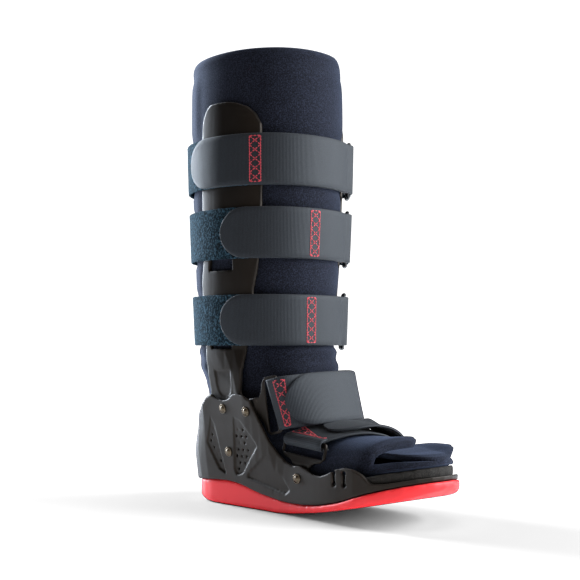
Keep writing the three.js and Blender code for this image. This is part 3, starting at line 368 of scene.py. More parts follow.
# %% Finishes: speckled cloth, foam and thread
def speckled(name, colour, roughness, tones, scale, spread, relief, **constants):
    """Two mixed tones, which begin and end at the spread, with a little relief"""
    material, tree, shader = finish(name, colour, roughness, **constants)
    pile = placed_group(tree, speckle, Scale=scale, Dark=shade(tones[0]), Light=shade(tones[1]),
                        Low=spread[0], High=spread[1])
    link(tree, pile.outputs["Color"], shader.inputs["Base Color"])
    if relief:
        bumped(tree, shader, pile.outputs["Height"], *relief)
    return material


plush = speckled(
    "liner_plush", "14141c", 0.95, ("0a0a0f", "272a38"), 1000.0, (0.38, 0.72), (0.0004, 0.55),
    Sheen_Weight=0.3, Sheen_Roughness=0.45, Sheen_Tint=shade("8f9fc4"), Specular_IOR_Level=0.15)
foam = speckled(
    "insole_foam", "5a5450", 0.9, ("1a1817", "3a3632"), 1300.0, (0.35, 0.65), (0.0003, 0.6),
    Specular_IOR_Level=0.2)
loop_cloth = speckled(
    "loop_pile", "0b0f13", 1.0, ("040608", "35505f"), 520.0, (0.42, 0.7), (0.0016, 0.9),
    Sheen_Weight=0.35, Sheen_Roughness=0.5, Sheen_Tint=shade("6f93a8"), Specular_IOR_Level=0.1)
thread = speckled(
    "red_thread", "a8242e", 0.6, ("a01c28", "e23c4a"), 2500.0, (0.35, 0.65), None, Sheen_Weight=0.2)
print("speckled finishes:", plush.name, foam.name, loop_cloth.name, thread.name)


# %% Finishes: ring wire and rivet metal
def ring_wire():
    material, tree, shader = finish("ring_wire", "0d0d0e", 0.3, Specular_IOR_Level=0.6)
    tooth = placed_group(tree, grain, Scale=900.0)
    patchy(tree, shader, tooth, 0.22, 0.4)
    return material


def rivet_metal():
    material, tree, shader = finish("rivet_metal", "5a4c3b", 0.28, Metallic=1.0)
    tooth = placed_group(tree, grain, Scale=1200.0)
    tone = mixed(tree, tooth.outputs["Patches"], shade("3f3427"), shade("786a58"))
    link(tree, tone, shader.inputs["Base Color"])
    patchy(tree, shader, tooth, 0.2, 0.38)
    return material


wire = ring_wire()
rivet_finish = rivet_metal()
print("metal finishes:", wire.name, rivet_finish.name)

# %% [markdown]
# Every shape below is read off small tables of sizes in millimetres. One function turns
# a column of a table into a smooth curve, and the rest are short helpers.

# %% Curves through tables
def clamp(value, low, high):
    return min(high, max(low, value))


def lerp(a, b, t):
    return a + (b - a) * t


def smooth_step(low, high, value):
    t = clamp((value - low) / (high - low), 0.0, 1.0)
    return t * t * (3 - 2 * t)


def curve_of(rows, column):
    """A smooth curve of one column of a table over its first column"""
    xs = [row[0] for row in rows]
    values = [row[column] for row in rows]
    last = len(xs) - 1
    slopes = []
    for i in range(last + 1):
        before = max(i - 1, 0)
        after = min(i + 1, last)
        slopes.append((values[after] - values[before]) / (xs[after] - xs[before]))

    def at(x):
        x = clamp(x, xs[0], xs[last])
        i = min(bisect.bisect_right(xs, x) - 1, last - 1)
        span = xs[i + 1] - xs[i]
        t = (x - xs[i]) / span
        t2 = t * t
        t3 = t2 * t
        return ((2 * t3 - 3 * t2 + 1) * values[i] + (t3 - 2 * t2 + t) * span * slopes[i]
                + (3 * t2 - 2 * t3) * values[i + 1] + (t3 - t2) * span * slopes[i + 1])
    return at


# %% [markdown]
# Four tables are shared by several pieces: the insole's top and the shell's seam along
# the foot, and the upright's edges and the leg's section by height.

# %% Shared tables
# Place along the foot, height of the insole's top
INSOLE_TOP = [
    (-190, 48.8), (-180, 47.1), (-160, 42.9), (-140, 37.8), (-120, 33.1), (-100, 29.7),
    (-80, 28.1), (-60, 27.8), (-44, 28.3), (-20, 29.8), (0, 31.3), (20, 32.3), (92, 32.4),
]
# Place along the foot, height of the seam between shell and sole
SEAM = [
    (-190, 37.6), (-181, 35.5), (-170, 32.6), (-160, 30.1), (-150, 27.0), (-140, 23.7),
    (-126, 19.0), (-110, 15.3),
]
# Height, the upright's front edge and its rear edge
UPRIGHT = [
    (90, -14.0, 32.0), (139, -18.0, 31.0), (165, -19.0, 32.0), (190, -20.0, 32.5),
    (211, -24.0, 33.0), (240, -27.0, 33.5), (283, -29.0, 34.0), (310, -29.0, 33.5),
    (333, -29.0, 32.0), (342, -25.0, 30.0), (348, -19.0, 27.0), (352, -9.0, 23.0), (354, 1.0, 19.0),
]
# Height, the leg's half width, half depth and middle
LEG = [
    (60, 48.0, 70.5, 16.6), (100, 49.4, 69.3, 17.8), (139, 55.2, 65.1, 19.3), (160, 57.1, 64.7, 19.3),
    (200, 58.9, 65.9, 19.5), (250, 60.5, 68.5, 19.5), (300, 61.6, 70.6, 19.8), (350, 62.1, 71.8, 20.0),
    (398, 62.0, 72.0, 20.0),
]
leg_half = curve_of(LEG, 1)
leg_deep = curve_of(LEG, 2)
leg_middle = curve_of(LEG, 3)
upright_front = curve_of(UPRIGHT, 1)
upright_rear = curve_of(UPRIGHT, 2)
insole_top = curve_of(INSOLE_TOP, 1)
seam_height = curve_of(SEAM, 1)
print("insole at the toe, mm:", round(insole_top(-180.0), 1))

# %% [markdown]
# Mouldings leave the steel with every edge a little round, and that roundness is what
# catches the light. A bevel can't follow edges that a cut has broken up. So a copy of
# each moulded solid is turned into fine voxels, smoothed a little, and thinned out.

# %% Mouldings: how one is made
WELD = 2e-6


def new_piece(name, mesh, *materials):
    piece = bpy.data.objects.new(name, mesh)
    bpy.context.scene.collection.objects.link(piece)
    for material in materials:
        mesh.materials.append(material)
    return piece


def plain_mesh(piece):
    graph = bpy.context.evaluated_depsgraph_get()
    graph.update()
    return bpy.data.meshes.new_from_object(piece.evaluated_get(graph))


def swap_mesh(piece, mesh):
    piece.modifiers.clear()
    old = piece.data
    piece.data = mesh
    bpy.data.meshes.remove(old)


def smooth_faces(mesh):
    mesh.polygons.foreach_set("use_smooth", [True] * len(mesh.polygons))


def mesh_of(skin, name):
    bmesh.ops.recalc_face_normals(skin, faces=skin.faces)
    mesh = bpy.data.meshes.new(name)
    skin.to_mesh(mesh)
    skin.free()
    smooth_faces(mesh)
    return mesh


def rounded_moulding(name, node, voxel, rounds, most, material, settle=None):
    mesh = nodes[node].data.copy()
    mesh.materials.clear()
    welded = bmesh.new()
    welded.from_mesh(mesh)
    bmesh.ops.remove_doubles(welded, verts=welded.verts, dist=WELD)
    welded.to_mesh(mesh)
    welded.free()
    piece = new_piece(name, mesh, material)
    fine = piece.modifiers.new("voxels", "REMESH")
    fine.mode = "VOXEL"
    fine.voxel_size = voxel * 1.0
    soft = piece.modifiers.new("softening", "SMOOTH")
    soft.factor = 0.5
    soft.iterations = rounds
    swap_mesh(piece, plain_mesh(piece))
    count = sum(len(p.vertices) - 2 for p in piece.data.polygons)
    if count > most:
        thin = piece.modifiers.new("thinning", "DECIMATE")
        thin.ratio = most / count
        swap_mesh(piece, plain_mesh(piece))
    if settle:
        for vert in piece.data.vertices:
            vert.co = settle(vert.co / MM) * MM
    smooth_faces(piece.data)
    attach(piece, "root")
    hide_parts(node)
    print(name, "faces:", len(piece.data.polygons))
    return piece


# %% [markdown]
# Worn and laced up, the mouldings settle a little from where the solids stand. Each
# small movement is a function of a point, in millimetres.

# %% Mouldings: how they settle
HEEL_FROM = 30.0
HEEL_DRAW = 0.31
TOE_STARTS = 147.0
TOE_ENDS = 157.0
TOE_KEPT = 0.58
INSOLE_DROP = 2.0
INSOLE_DEPTH = 6.5
BRACKET_STARTS = 22.0
BRACKET_ENDS = 48.0
BRACKET_MIDDLE = 97.0
LEG_SQUARE = 2.1
LEG_FARTHEST = 0.98
UPRIGHT_COLUMNS = 4
UPRIGHT_REAR = 34.0
UPRIGHT_WIDE = 47.0
WAIST_FRONT = 6.5
WAIST_REAR = 4.5


def heel_in(point):
    """The heel cup draws in towards its top, and the liner inside it does too"""
    high = smooth_step(40.0, 85.0, point.z) * (1 - smooth_step(96.0, 140.0, point.z))
    behind = max(point.y - HEEL_FROM, 0.0)
    return Vector((point.x, point.y - HEEL_DRAW * high * behind, point.z))


def thin_toe(point):
    """The shell's rim dips to a thin lip round the toe"""
    kept = lerp(1.0, TOE_KEPT, smooth_step(TOE_STARTS, TOE_ENDS, -point.y))
    seam = seam_height(point.y)
    return heel_in(Vector((point.x, point.y, seam + (point.z - seam) * kept)))


def full_toe(point):
    """The insole's underside follows the shell's floor down; its top stays"""
    down = clamp((insole_top(point.y) - point.z) / INSOLE_DEPTH, 0.0, 1.0)
    drop = INSOLE_DROP * smooth_step(TOE_STARTS, TOE_ENDS, -point.y)
    return Vector((point.x, point.y, point.z - drop * down))


def drawn_back(back, slant, down):
    """An instep bracket pulled back and down by its strap, more at one end"""
    def settle(point):
        pull = smooth_step(BRACKET_STARTS, BRACKET_ENDS, -point.y)
        moved = pull * (back + slant * (point.z - BRACKET_MIDDLE))
        return Vector((point.x, point.y + moved, point.z - pull * down))
    return settle


def leg_side(y, z):
    """How far the leg's section stands out to the side at one place"""
    off = min(abs(y - leg_middle(z)) / leg_deep(z), LEG_FARTHEST)
    return leg_half(z) * (1 - off ** LEG_SQUARE) ** (1 / LEG_SQUARE)


def bulge(point):
    """How far the leg's curve stands out over one flat facet of the upright"""
    front = upright_front(point.z)
    rear = upright_rear(point.z)
    share = clamp((point.y - front) / (rear - front), 0.0, 1.0) * UPRIGHT_COLUMNS
    column = min(int(share), UPRIGHT_COLUMNS - 1)
    ends = [lerp(front, rear, (column + i) / UPRIGHT_COLUMNS) for i in (0, 1)]
    low, high = [leg_side(y, point.z) for y in ends]
    return leg_side(lerp(*ends, share - column), point.z) - lerp(low, high, share - column)


def waisted(point):
    """The upright narrows from the front, just over the shell, and fills out behind"""
    here = smooth_step(88.0, 104.0, point.z) * (1 - smooth_step(150.0, 190.0, point.z))
    behind = smooth_step(100.0, 135.0, point.z) * (1 - smooth_step(190.0, 230.0, point.z))
    across = clamp((UPRIGHT_REAR - point.y) / UPRIGHT_WIDE, 0.0, 1.0)
    back = WAIST_FRONT * here * across ** 2 + WAIST_REAR * behind * (1 - across) ** 2
    out = bulge(point) * smooth_step(98.0, 150.0, point.z)
    return Vector((point.x + math.copysign(out, point.x), point.y + back, point.z))


# %% [markdown]
# The shell, the sole, the insole, the uprights and the brackets are all made this way.

# %% Mouldings
PULLED = {
    "instep_near": drawn_back(10.0, -0.21, 2.8),
    "instep_far": drawn_back(8.0, 0.15, 4.5),
}
rounded_moulding("shell_moulding", "shell", 0.0008, 3, 185000, shell_plastic, thin_toe)
rounded_moulding("rocker_sole", "outsole", 0.0013, 10, 90000, red_rubber)
rounded_moulding("insole_sheet", "insole", 0.0013, 4, 60000, foam, full_toe)
for side in ("near", "far"):
    rounded_moulding(f"side_upright_{side}", f"upright_{side}", 0.0009, 4, 90000,
                     upright_plastic, waisted)
    for part in (f"instep_{side}", f"forefoot_{side}"):
        rounded_moulding(f"slotted_bracket_{part}", f"bracket_{part}", 0.0005, 5, 60000,
                         upright_plastic, PULLED.get(part))

# %% [markdown]
# The liner is one padded wall wound a turn and a fifth round the leg and the foot. Its
# sections are a table: where each one's front and back points lie, how wide it is, and
# how square.

# %% The liner's sections
# Section, front y, front z, back y, back z, half width, squareness front, squareness back
LINER = [
    (0, -51.0, 399.5, 92.0, 398.6, 62.0, 2.1, 2.1),
    (1, -51.5, 329.9, 91.5, 329.9, 62.0, 2.1, 2.1),
    (2, -49.0, 250.1, 88.0, 250.1, 60.5, 2.1, 2.1),
    (3, -46.0, 190.0, 85.0, 190.0, 58.5, 2.1, 2.1),
    (4, -45.5, 152.0, 84.0, 140.0, 56.0, 2.1, 2.1),
    (5, -48.0, 128.0, 87.0, 103.0, 51.8, 2.3, 2.2),
    (6, -53.9, 109.0, 87.0, 72.0, 48.0, 2.6, 2.3),
    (7, -60.0, 94.0, 80.0, 42.0, 44.2, 2.8, 2.8),
    (8, -68.0, 80.5, 60.0, 33.6, 42.9, 2.8, 4.0),
    (9, -79.0, 72.0, 25.0, 33.4, 42.6, 2.3, 5.0),
    (10, -94.0, 68.9, -20.0, 30.8, 41.2, 2.2, 5.0),
    (11, -110.0, 67.6, -65.9, 28.9, 41.7, 2.2, 5.0),
    (12, -128.0, 67.0, -108.0, 31.8, 43.6, 2.2, 5.0),
    (13, -148.0, 67.6, -142.0, 39.3, 42.6, 2.2, 5.0),
    (14, -170.0, 65.1, -168.1, 45.7, 40.3, 2.2, 5.0),
    (15, -188.1, 62.0, -188.1, 49.4, 37.8, 2.2, 5.0),
]
FIRST_FLAT_ROW = 8
TOE_ROW = 15
OVER_INSOLE = 1.0
LINER_WALL = 6.5
FLAP_GAP = 0.8
LINER_TOE_RADIUS = 42.0
FLAP_RECEDE = 36.0
RIM_CORNER = 30.0
WRAP_TURN = 435.0
TOE_WRAP = 205.0
NOSE_DEEP = 4.0
UNDER_CORNER = 24.0
OVER_CORNER = 14.0
LEG_HALF_WIDTH = 62.0
section = [curve_of(LINER, column) for column in range(8)]
under_edge = curve_of([(0, 25), (5, 25), (9, 45), (13, 60), (15, 62)], 1)
over_edge = curve_of([(0, -50), (5, -50), (9, -45), (13, -30), (15, -14)], 1)
print("liner sections:", len(LINER))


# %% The liner's own surface
def section_ends(row):
    back_y = section[3](row)
    back_z = section[4](row) if row < FIRST_FLAT_ROW else insole_top(back_y) + OVER_INSOLE
    return section[1](row), section[2](row), back_y, back_z


def liner_point(row, angle, inward):
    front_y, front_z, back_y, back_z = section_ends(row)
    run_y = (front_y - back_y) / 2
    run_z = (front_z - back_z) / 2
    run = math.hypot(run_y, run_z)
    c = math.cos(angle)
    s = math.sin(angle)
    square = section[6](row) if c > 0 else section[7](row)
    up = math.copysign(abs(c) ** (2 / square), c) * (run - inward) / run
    side = math.copysign(abs(s) ** (2 / square), s) * (section[5](row) - inward)
    return Vector((-side, (front_y + back_y) / 2 + up * run_y, (front_z + back_z) / 2 + up * run_z))


def half_depth(row):
    front_y, front_z, back_y, back_z = section_ends(row)
    return math.hypot(front_y - back_y, front_z - back_z) / 2


def toe_recede(turn):
    side = abs(liner_point(TOE_ROW - 1, math.radians(turn), 0).x)
    held = min(side, LINER_TOE_RADIUS * 0.96)
    rounded = LINER_TOE_RADIUS - math.sqrt(LINER_TOE_RADIUS ** 2 - held ** 2)
    return max(rounded, FLAP_RECEDE * smooth_step(195, 245, -turn))


def toe_corner(from_edge, radius):
    into = max(radius - from_edge, 0.0)
    return radius - math.sqrt(radius ** 2 - into ** 2 * 0.99)


def rounding(distance):
    share = clamp(distance / (LINER_WALL / 2), 0.0, 1.0)
    return LINER_WALL / 2 * (1 - math.sqrt(1 - (1 - share) ** 2))


# %% [markdown]
# The wall is built between an outer and an inner skin, with the edges rounded over as
# sewn foam is. Simulation would shut the narrow gap between the two layers of the wrap,
# so the pressed-in bands, the rim's seam and the folds are moved into the skin in code.

# %% The liner's padding
# Bands of height, in mm, that stand free between the straps
FREE_BANDS = [(110.0, 141.0), (188.0, 216.0), (263.0, 278.5), (325.5, 392.0)]
PUFF = 1.7
LUMP = 0.7
LUMP_SPACING = 0.012
FOLD_RISE = 0.7
TOE_PLUMP = 1.0
SEAM_DEEP = 1.1
SEAM_WIDE = 1.1
SEAM_INSET = 7.5
SKIN_LENGTH = 480.0
SKIN_ROUND = 470.0
# Distances of the skin's first lines from its edge, in mm
EDGE_LINES = [0.0, 0.25, 0.8, 1.7, 2.7, 3.6]


def swell(point, turn):
    """How far the padding stands out, in mm, at a point of the outer skin"""
    around = abs((turn + 180) % 360 - 180)
    clear = 1 - smooth_step(44, 54, around) * (1 - smooth_step(104, 114, around))
    out = 0.0
    for low, high in FREE_BANDS:
        if low < point.z < high:
            share = (point.z - low) / (high - low)
            out += PUFF * min(1.0, 2.2 * math.sin(math.pi * share)) * clear
    place = point * LUMP_SPACING
    out += LUMP * noise.noise(place + Vector((3.1, 0.4, 7.7))) * (0.35 + 0.65 * clear)
    ankle = smooth_step(98, 112, point.z) * (1 - smooth_step(136, 146, point.z))
    folds = math.sin(point.z * 0.42 + 2.4 * noise.noise(point * 0.02))
    plump = TOE_PLUMP * smooth_step(112, 140, -point.y)
    return out + plump + FOLD_RISE * ankle * clear * folds


def spaced(length, steps):
    last = EDGE_LINES[-1]
    inner = [lerp(last, length - last, i / steps) / length for i in range(1, steps)]
    near = [e / length for e in EDGE_LINES]
    return near + inner + [1 - e / length for e in reversed(EDGE_LINES)]


def liner_skins():
    fine = 1.0
    down = spaced(SKIN_LENGTH, int(150 * fine))
    round_leg = spaced(SKIN_ROUND, int(190 * fine))
    toe_spacing = (section[1](TOE_ROW - 2) - section[1](TOE_ROW)) / 2
    rim_spacing = section[2](0) - section[2](1)
    outer = []
    inner = []
    for share in down:
        outer.append([])
        inner.append([])
        for t in round_leg:
            last_turn = lerp(under_edge(TOE_ROW), over_edge(TOE_ROW) - 360, t)
            recede = toe_recede(last_turn) + toe_corner(t * TOE_WRAP, UNDER_CORNER)
            recede += toe_corner((1 - t) * TOE_WRAP, OVER_CORNER)
            toe = TOE_ROW - recede / toe_spacing
            from_over = math.radians(WRAP_TURN) * (1 - t) * LEG_HALF_WIDTH
            corner = max(RIM_CORNER - from_over, 0)
            drop = RIM_CORNER - math.sqrt(RIM_CORNER ** 2 - corner ** 2)
            row = lerp(drop / rim_spacing, toe, share)
            turn = lerp(under_edge(row), over_edge(row) - 360, t)
            tuck = 1 - smooth_step(0, 35, over_edge(row) - turn)
            wall = min(LINER_WALL, (2 * half_depth(row) - FLAP_GAP) / 3)
            inset = tuck * (wall + FLAP_GAP)
            from_toe = (1 - share) * SKIN_LENGTH
            nearest = min(share * SKIN_LENGTH, from_toe, min(t, 1 - t) * SKIN_ROUND)
            edge = rounding(nearest) * wall / LINER_WALL
            seam = SEAM_DEEP * math.exp(-((nearest - SEAM_INSET) / SEAM_WIDE) ** 2)
            angle = math.radians(turn)
            here = liner_point(row, angle, inset)
            fade = smooth_step(2, 14, nearest)
            out = swell(here, turn) * fade * (1 - tuck)
            nose = NOSE_DEEP * rounding(from_toe / 4.0) * 2 / LINER_WALL
            nose *= smooth_step(-0.2, 0.3, math.cos(angle))
            outer[-1].append(heel_in(liner_point(row, angle, inset + edge + seam + nose - out)))
            inner[-1].append(heel_in(liner_point(row, angle, inset + wall + nose - edge - seam)))
    return outer, inner


def wall_mesh(name, outer, inner):
    skin = bmesh.new()
    out = [[skin.verts.new(p * MM) for p in row] for row in outer]
    inn = [[skin.verts.new(p * MM) for p in row] for row in inner]
    rows = len(out) - 1
    columns = len(out[0]) - 1
    for r in range(rows):
        for c in range(columns):
            skin.faces.new((out[r][c], out[r][c + 1], out[r + 1][c + 1], out[r + 1][c]))
            skin.faces.new((inn[r][c], inn[r + 1][c], inn[r + 1][c + 1], inn[r][c + 1]))
        skin.faces.new((out[r][0], out[r + 1][0], inn[r + 1][0], inn[r][0]))
        skin.faces.new((out[r][columns], inn[r][columns], inn[r + 1][columns], out[r + 1][columns]))
    for c in range(columns):
        skin.faces.new((out[0][c], inn[0][c], inn[0][c + 1], out[0][c + 1]))
        skin.faces.new((out[rows][c], out[rows][c + 1], inn[rows][c + 1], inn[rows][c]))
    bmesh.ops.remove_doubles(skin, verts=skin.verts, dist=WELD / 2)
    return mesh_of(skin, name)


liner = new_piece("padded_liner", wall_mesh("padded_liner", *liner_skins()), plush)
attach(liner, "root")
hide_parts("liner")
print("liner faces:", len(liner.data.polygons))

# %% [markdown]
# Straps are flat webbing 44 mm wide and 2 mm thick. Each is a path of stations: how far
# along its base line, how far off it, and which way its face looks there. The section
# has soft edges, and a UV map in metres follows the cloth, so that the ribs of the
# weave run across the strap wherever it goes.

# %% Webbing from a path of stations
WEB_HALF = 22.0
WEB_THICK = 2.0
EDGE_SOFT = 0.55
EDGE_WIDE = 0.8
EDGE_ROUND = 0.15
ACROSS_STEPS = 10
TAB_STEPS = 16
TAB_TURN = 84
FOLD_STEPS = 14
ROUGH_SPACING = 0.9


def stretch(start, stop, low, high, steps):
    way = math.copysign(1.0, stop - start)
    made = []
    for i in range(steps):
        t = i / steps
        made.append((lerp(start, stop, t), lerp(low, high, t * t * (3 - 2 * t)), 0.0, way, 1.0))
    return made


def fold_round(place, height, radius, way):
    made = []
    for i in range(FOLD_STEPS + 1):
        turn = i / FOLD_STEPS * math.pi
        face_s = -math.sin(turn)
        face_n = math.cos(turn)
        made.append((place - way * radius * face_s, height - radius * face_n, face_s, way * face_n, 1.0))
    return made


def tab_end(place, way, height):
    made = []
    for i in range(TAB_STEPS + 1):
        turn = math.radians(i / TAB_STEPS * TAB_TURN)
        made.append((place - way * WEB_HALF * (1 - math.sin(turn)), height, 0.0, way, math.cos(turn)))
    return made


def web_section():
    side = WEB_THICK / 2
    flat = WEB_HALF - EDGE_WIDE
    shoulder = WEB_HALF - EDGE_ROUND
    low = [(lerp(-flat, flat, k / ACROSS_STEPS), -side) for k in range(ACROSS_STEPS + 1)]
    high = [(a, side) for a, _ in reversed(low)]
    near_end = [(shoulder, -side * EDGE_SOFT), (WEB_HALF, 0.0), (shoulder, side * EDGE_SOFT)]
    far_end = [(-a, -b) for a, b in near_end]
    return low + near_end + high + far_end


def web_mesh(name, base, stations, rough=0.0):
    profile = web_section()
    skin = bmesh.new()
    cloth = skin.loops.layers.uv.new("weave")
    rings = []
    travel = 0.0
    travels = []
    before = None
    for s, n, face_s, face_n, wide in stations:
        centre = base(s, 0.0, n)
        if before is not None:
            travel += (centre - before).length
        before = centre
        travels.append(travel)
        ring = []
        for a, b in profile:
            spot = base(s + face_s * b, a * wide, n + face_n * b)
            if rough:
                spot += noise.noise_vector(spot * ROUGH_SPACING) * rough
            ring.append(skin.verts.new(spot * MM))
        rings.append(ring)
    size = len(profile)
    for r in range(len(rings) - 1):
        for i in range(size):
            j = (i + 1) % size
            face = skin.faces.new((rings[r][i], rings[r][j], rings[r + 1][j], rings[r + 1][i]))
            spots = ((r, i), (r, j), (r + 1, j), (r + 1, i))
            for loop, (ring_at, point_at) in zip(face.loops, spots):
                wide = stations[ring_at][4]
                loop[cloth].uv = (travels[ring_at] * MM, profile[point_at][0] * wide * MM)
    skin.faces.new(list(reversed(rings[0])))
    skin.faces.new(rings[-1])
    return mesh_of(skin, name)


# %% [markdown]
# A leg strap and its loop band lie on one line round the leg, over the liner and the
# uprights. A place on it is a distance along, a distance across and one off the cloth.

# %% The line round the leg
GIRTH_SQUARE = 2.15
STRAP_SCALE = 62.0
SIDE_OVER_LEG = 4.8
FRONT_OVER_LEG = 0.5
LAYER_ONE = 1.3
LAYER_TWO = 3.6
RING_HEIGHT = 4.55
RING_FOLD = 3.25
UNDER_RING = RING_HEIGHT - RING_FOLD
OVER_RING = RING_HEIGHT + RING_FOLD
RETURN_RUN = 11
BUTT_GAP = 0.9
LOOP_ROUGH = 0.28
FRONT_BAR = -43.28
REAR_BAR = -57.88
BAND_FRONT = 58.43
# Strap, height of its middle, stitch place in degrees, tab end in degrees
LEG_STRAPS = [
    ("top", 301.9, 49.0, 111.0),
    ("middle", 239.5, 6.5, 77.0),
    ("lower", 164.6, 8.0, 79.0),
]


def girth_base(middle):
    def base(s, across, off):
        turn = s / STRAP_SCALE
        z = middle + across
        side = leg_half(z) + SIDE_OVER_LEG
        deep = leg_deep(z) + FRONT_OVER_LEG
        flat = (abs(math.sin(turn)) / side) ** GIRTH_SQUARE + (abs(math.cos(turn)) / deep) ** GIRTH_SQUARE
        radius = flat ** (-1 / GIRTH_SQUARE) + off
        return Vector((-radius * math.sin(turn), leg_middle(z) - radius * math.cos(turn), z))
    return base


# %% [markdown]
# The webbing comes from the near side, passes the front, folds round the ring and
# returns over itself to a round tab. The band goes the other way, round the calf.

# %% Leg straps and loop bands
def leg_webbing(name, middle, tab_degrees):
    tab = math.radians(tab_degrees) * STRAP_SCALE
    landed = FRONT_BAR + RETURN_RUN
    stations = (
        stretch(BAND_FRONT - BUTT_GAP, FRONT_BAR, LAYER_ONE, UNDER_RING, 44)
        + fold_round(FRONT_BAR, RING_HEIGHT, RING_FOLD, -1)
        + stretch(FRONT_BAR + 1, landed, OVER_RING, LAYER_TWO, 8)
        + stretch(landed, tab - WEB_HALF, LAYER_TWO, LAYER_TWO, 60)
        + tab_end(tab, 1, LAYER_TWO))
    return web_mesh(name, girth_base(middle), stations)


def loop_webbing(name, middle):
    back = REAR_BAR + 2 * math.pi * STRAP_SCALE
    landed = back - RETURN_RUN
    end = landed - RETURN_RUN
    stations = (
        stretch(BAND_FRONT, back - WEB_HALF, LAYER_ONE, LAYER_ONE, 150)
        + stretch(back - WEB_HALF, back, LAYER_ONE, UNDER_RING, 12)
        + fold_round(back, RING_HEIGHT, RING_FOLD, 1)
        + stretch(back - 1, landed, OVER_RING, LAYER_TWO, 8)
        + stretch(landed, end, LAYER_TWO, LAYER_TWO, 8)
        + [(end, LAYER_TWO, 0.0, -1.0, 1.0)])
    return web_mesh(name, girth_base(middle), stations, rough=LOOP_ROUGH)


for label, middle, _, tab_degrees in LEG_STRAPS:
    strap = new_piece(f"leg_strap_{label}", leg_webbing(f"leg_strap_{label}", middle, tab_degrees),
                      webbing_cloth)
    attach(strap, "root")
    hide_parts(f"strap_{label}")
    band = new_piece(f"fuzzy_band_{label}", loop_webbing(f"fuzzy_band_{label}", middle), loop_cloth)
    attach(band, "root")
    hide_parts(f"loop_band_{label}")
print("leg straps:", len(LEG_STRAPS))

# %% [markdown]
# Each ring is a bent rectangle of round wire with soft corners, standing in the folds
# of the strap and the band. It follows the curve of the leg, so it is swept along points
# that are taken from the same line as the straps.

# %% Rings
RING_RADIUS = 1.75
RING_SPAN = 14.6
RING_OVER = 4.0
WIRE_SIDES = 14


def circle(sides):
    turns = [k / sides * 2 * math.pi for k in range(sides)]
    return [(math.cos(turn), math.sin(turn)) for turn in turns]


def swept_loop(path):
    middle = sum(path, Vector()) / len(path)
    skin = bmesh.new()
    rings = []
    for i, spot in enumerate(path):
        run = (path[(i + 1) % len(path)] - path[i - 1]).normalized()
        out = spot - middle
        out = (out - run * out.dot(run)).normalized()
        up = run.cross(out)
        rings.append([skin.verts.new((spot + (out * a + up * b) * RING_RADIUS) * MM)
                      for a, b in circle(WIRE_SIDES)])
    for i in range(len(rings)):
        after = rings[(i + 1) % len(rings)]
        for k in range(WIRE_SIDES):
            j = (k + 1) % WIRE_SIDES
            skin.faces.new((rings[i][k], rings[i][j], after[j], after[k]))
    return mesh_of(skin, "ring")


def ring_path(middle):
    base = girth_base(middle)
    high = WEB_HALF + RING_OVER - RING_RADIUS
    corner = RING_SPAN / 4
    corners = [
        (FRONT_BAR - corner, high - corner, 0), (REAR_BAR + corner, high - corner, 1),
        (REAR_BAR + corner, -high + corner, 2), (FRONT_BAR - corner, -high + corner, 3),
    ]
    path = []
    for number, (s, across, quarter) in enumerate(corners):
        for i in range(6):
            turn = (quarter + i / 5) * math.pi / 2
            path.append(base(s + corner * math.cos(turn), across + corner * math.sin(turn), RING_HEIGHT))
        if number in (1, 3):
            start = high - corner if number == 1 else corner - high
            place = REAR_BAR if number == 1 else FRONT_BAR
            for i in range(1, 10):
                path.append(base(place, lerp(start, -start, i / 10), RING_HEIGHT))
    return path


for label, middle, _, _ in LEG_STRAPS:
    ring = new_piece(f"strap_ring_{label}", swept_loop(ring_path(middle)), wire)
    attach(ring, "root")
    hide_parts(f"ring_{label}")
print("rings:", len(LEG_STRAPS))

# %% [markdown]
# A foot strap leaves its near bracket, bridges the foot and folds round the far
# bracket's bar. The brackets lean, so the strap's width has to turn on the way. Its
# base line is a smooth bridge between the two bars, with the cloth's width blended
# from one bar's direction to the other's.

# %% Foot straps
# Bar's middle, the way the bracket's head points, and the way along the bar
BARS = {
    "instep_near": ((-49.9, -51.3, 93.5), (0.150, -0.964, 0.221), (-0.155, 0.0, 0.988)),
    "instep_far": ((42.2, -50.0, 95.2), (-0.427, -0.843, 0.326), (0.142, 0.400, 0.905)),
    "forefoot_near": ((-43.5, -78.6, 62.9), (0.176, -0.085, 0.981), (-0.003, 0.996, 0.087)),
    "forefoot_far": ((46.2, -88.0, 62.8), (-0.022, -0.374, 0.927), (0.012, 0.927, 0.374)),
}
# Strap, turn in at the near bar and at the far bar in degrees, reach, tilt in degrees,
# tab place, forward, lift, sewn tail
FOOT_STRAPS = [
    ("instep", 0.0, 0.0, 15.0, 77.0, 8.0, 4.3, -0.5, 12.0),
    ("forefoot", 70.0, 65.0, 8.0, 3.0, 20.0, 8.0, 4.8, 10.0),
]
BAR_WIDE = 5.0
BAR_THICK = 2.0
FOLD_EASE = 0.5
FOLD_TIGHT = 0.9
BAR_LEAD = 4.6
FOLD_HEIGHT = 2.5
SEWN_GAP = 0.4
BRIDGE_STEPS = 80


def fold_about(turn):
    """Height and place of the fold's round where the strap leaves a bar at an angle"""
    leaves = math.radians(turn)
    high = (BAR_WIDE * math.sin(leaves) + BAR_THICK * math.cos(leaves)) / 2
    deep = (BAR_WIDE * math.cos(leaves) + BAR_THICK * math.sin(leaves)) / 2
    room = FOLD_TIGHT * math.sqrt((high + FOLD_EASE) ** 2 - high ** 2)
    return high + FOLD_EASE + WEB_THICK / 2, max(0.0, deep - room)


def turned_in(row, turn):
    inward = row[1].cross(row[2])
    inward = inward if inward.x * row[0].x < 0 else -inward
    leaves = math.radians(turn)
    return (row[1] * math.cos(leaves) + inward * math.sin(leaves)).normalized()


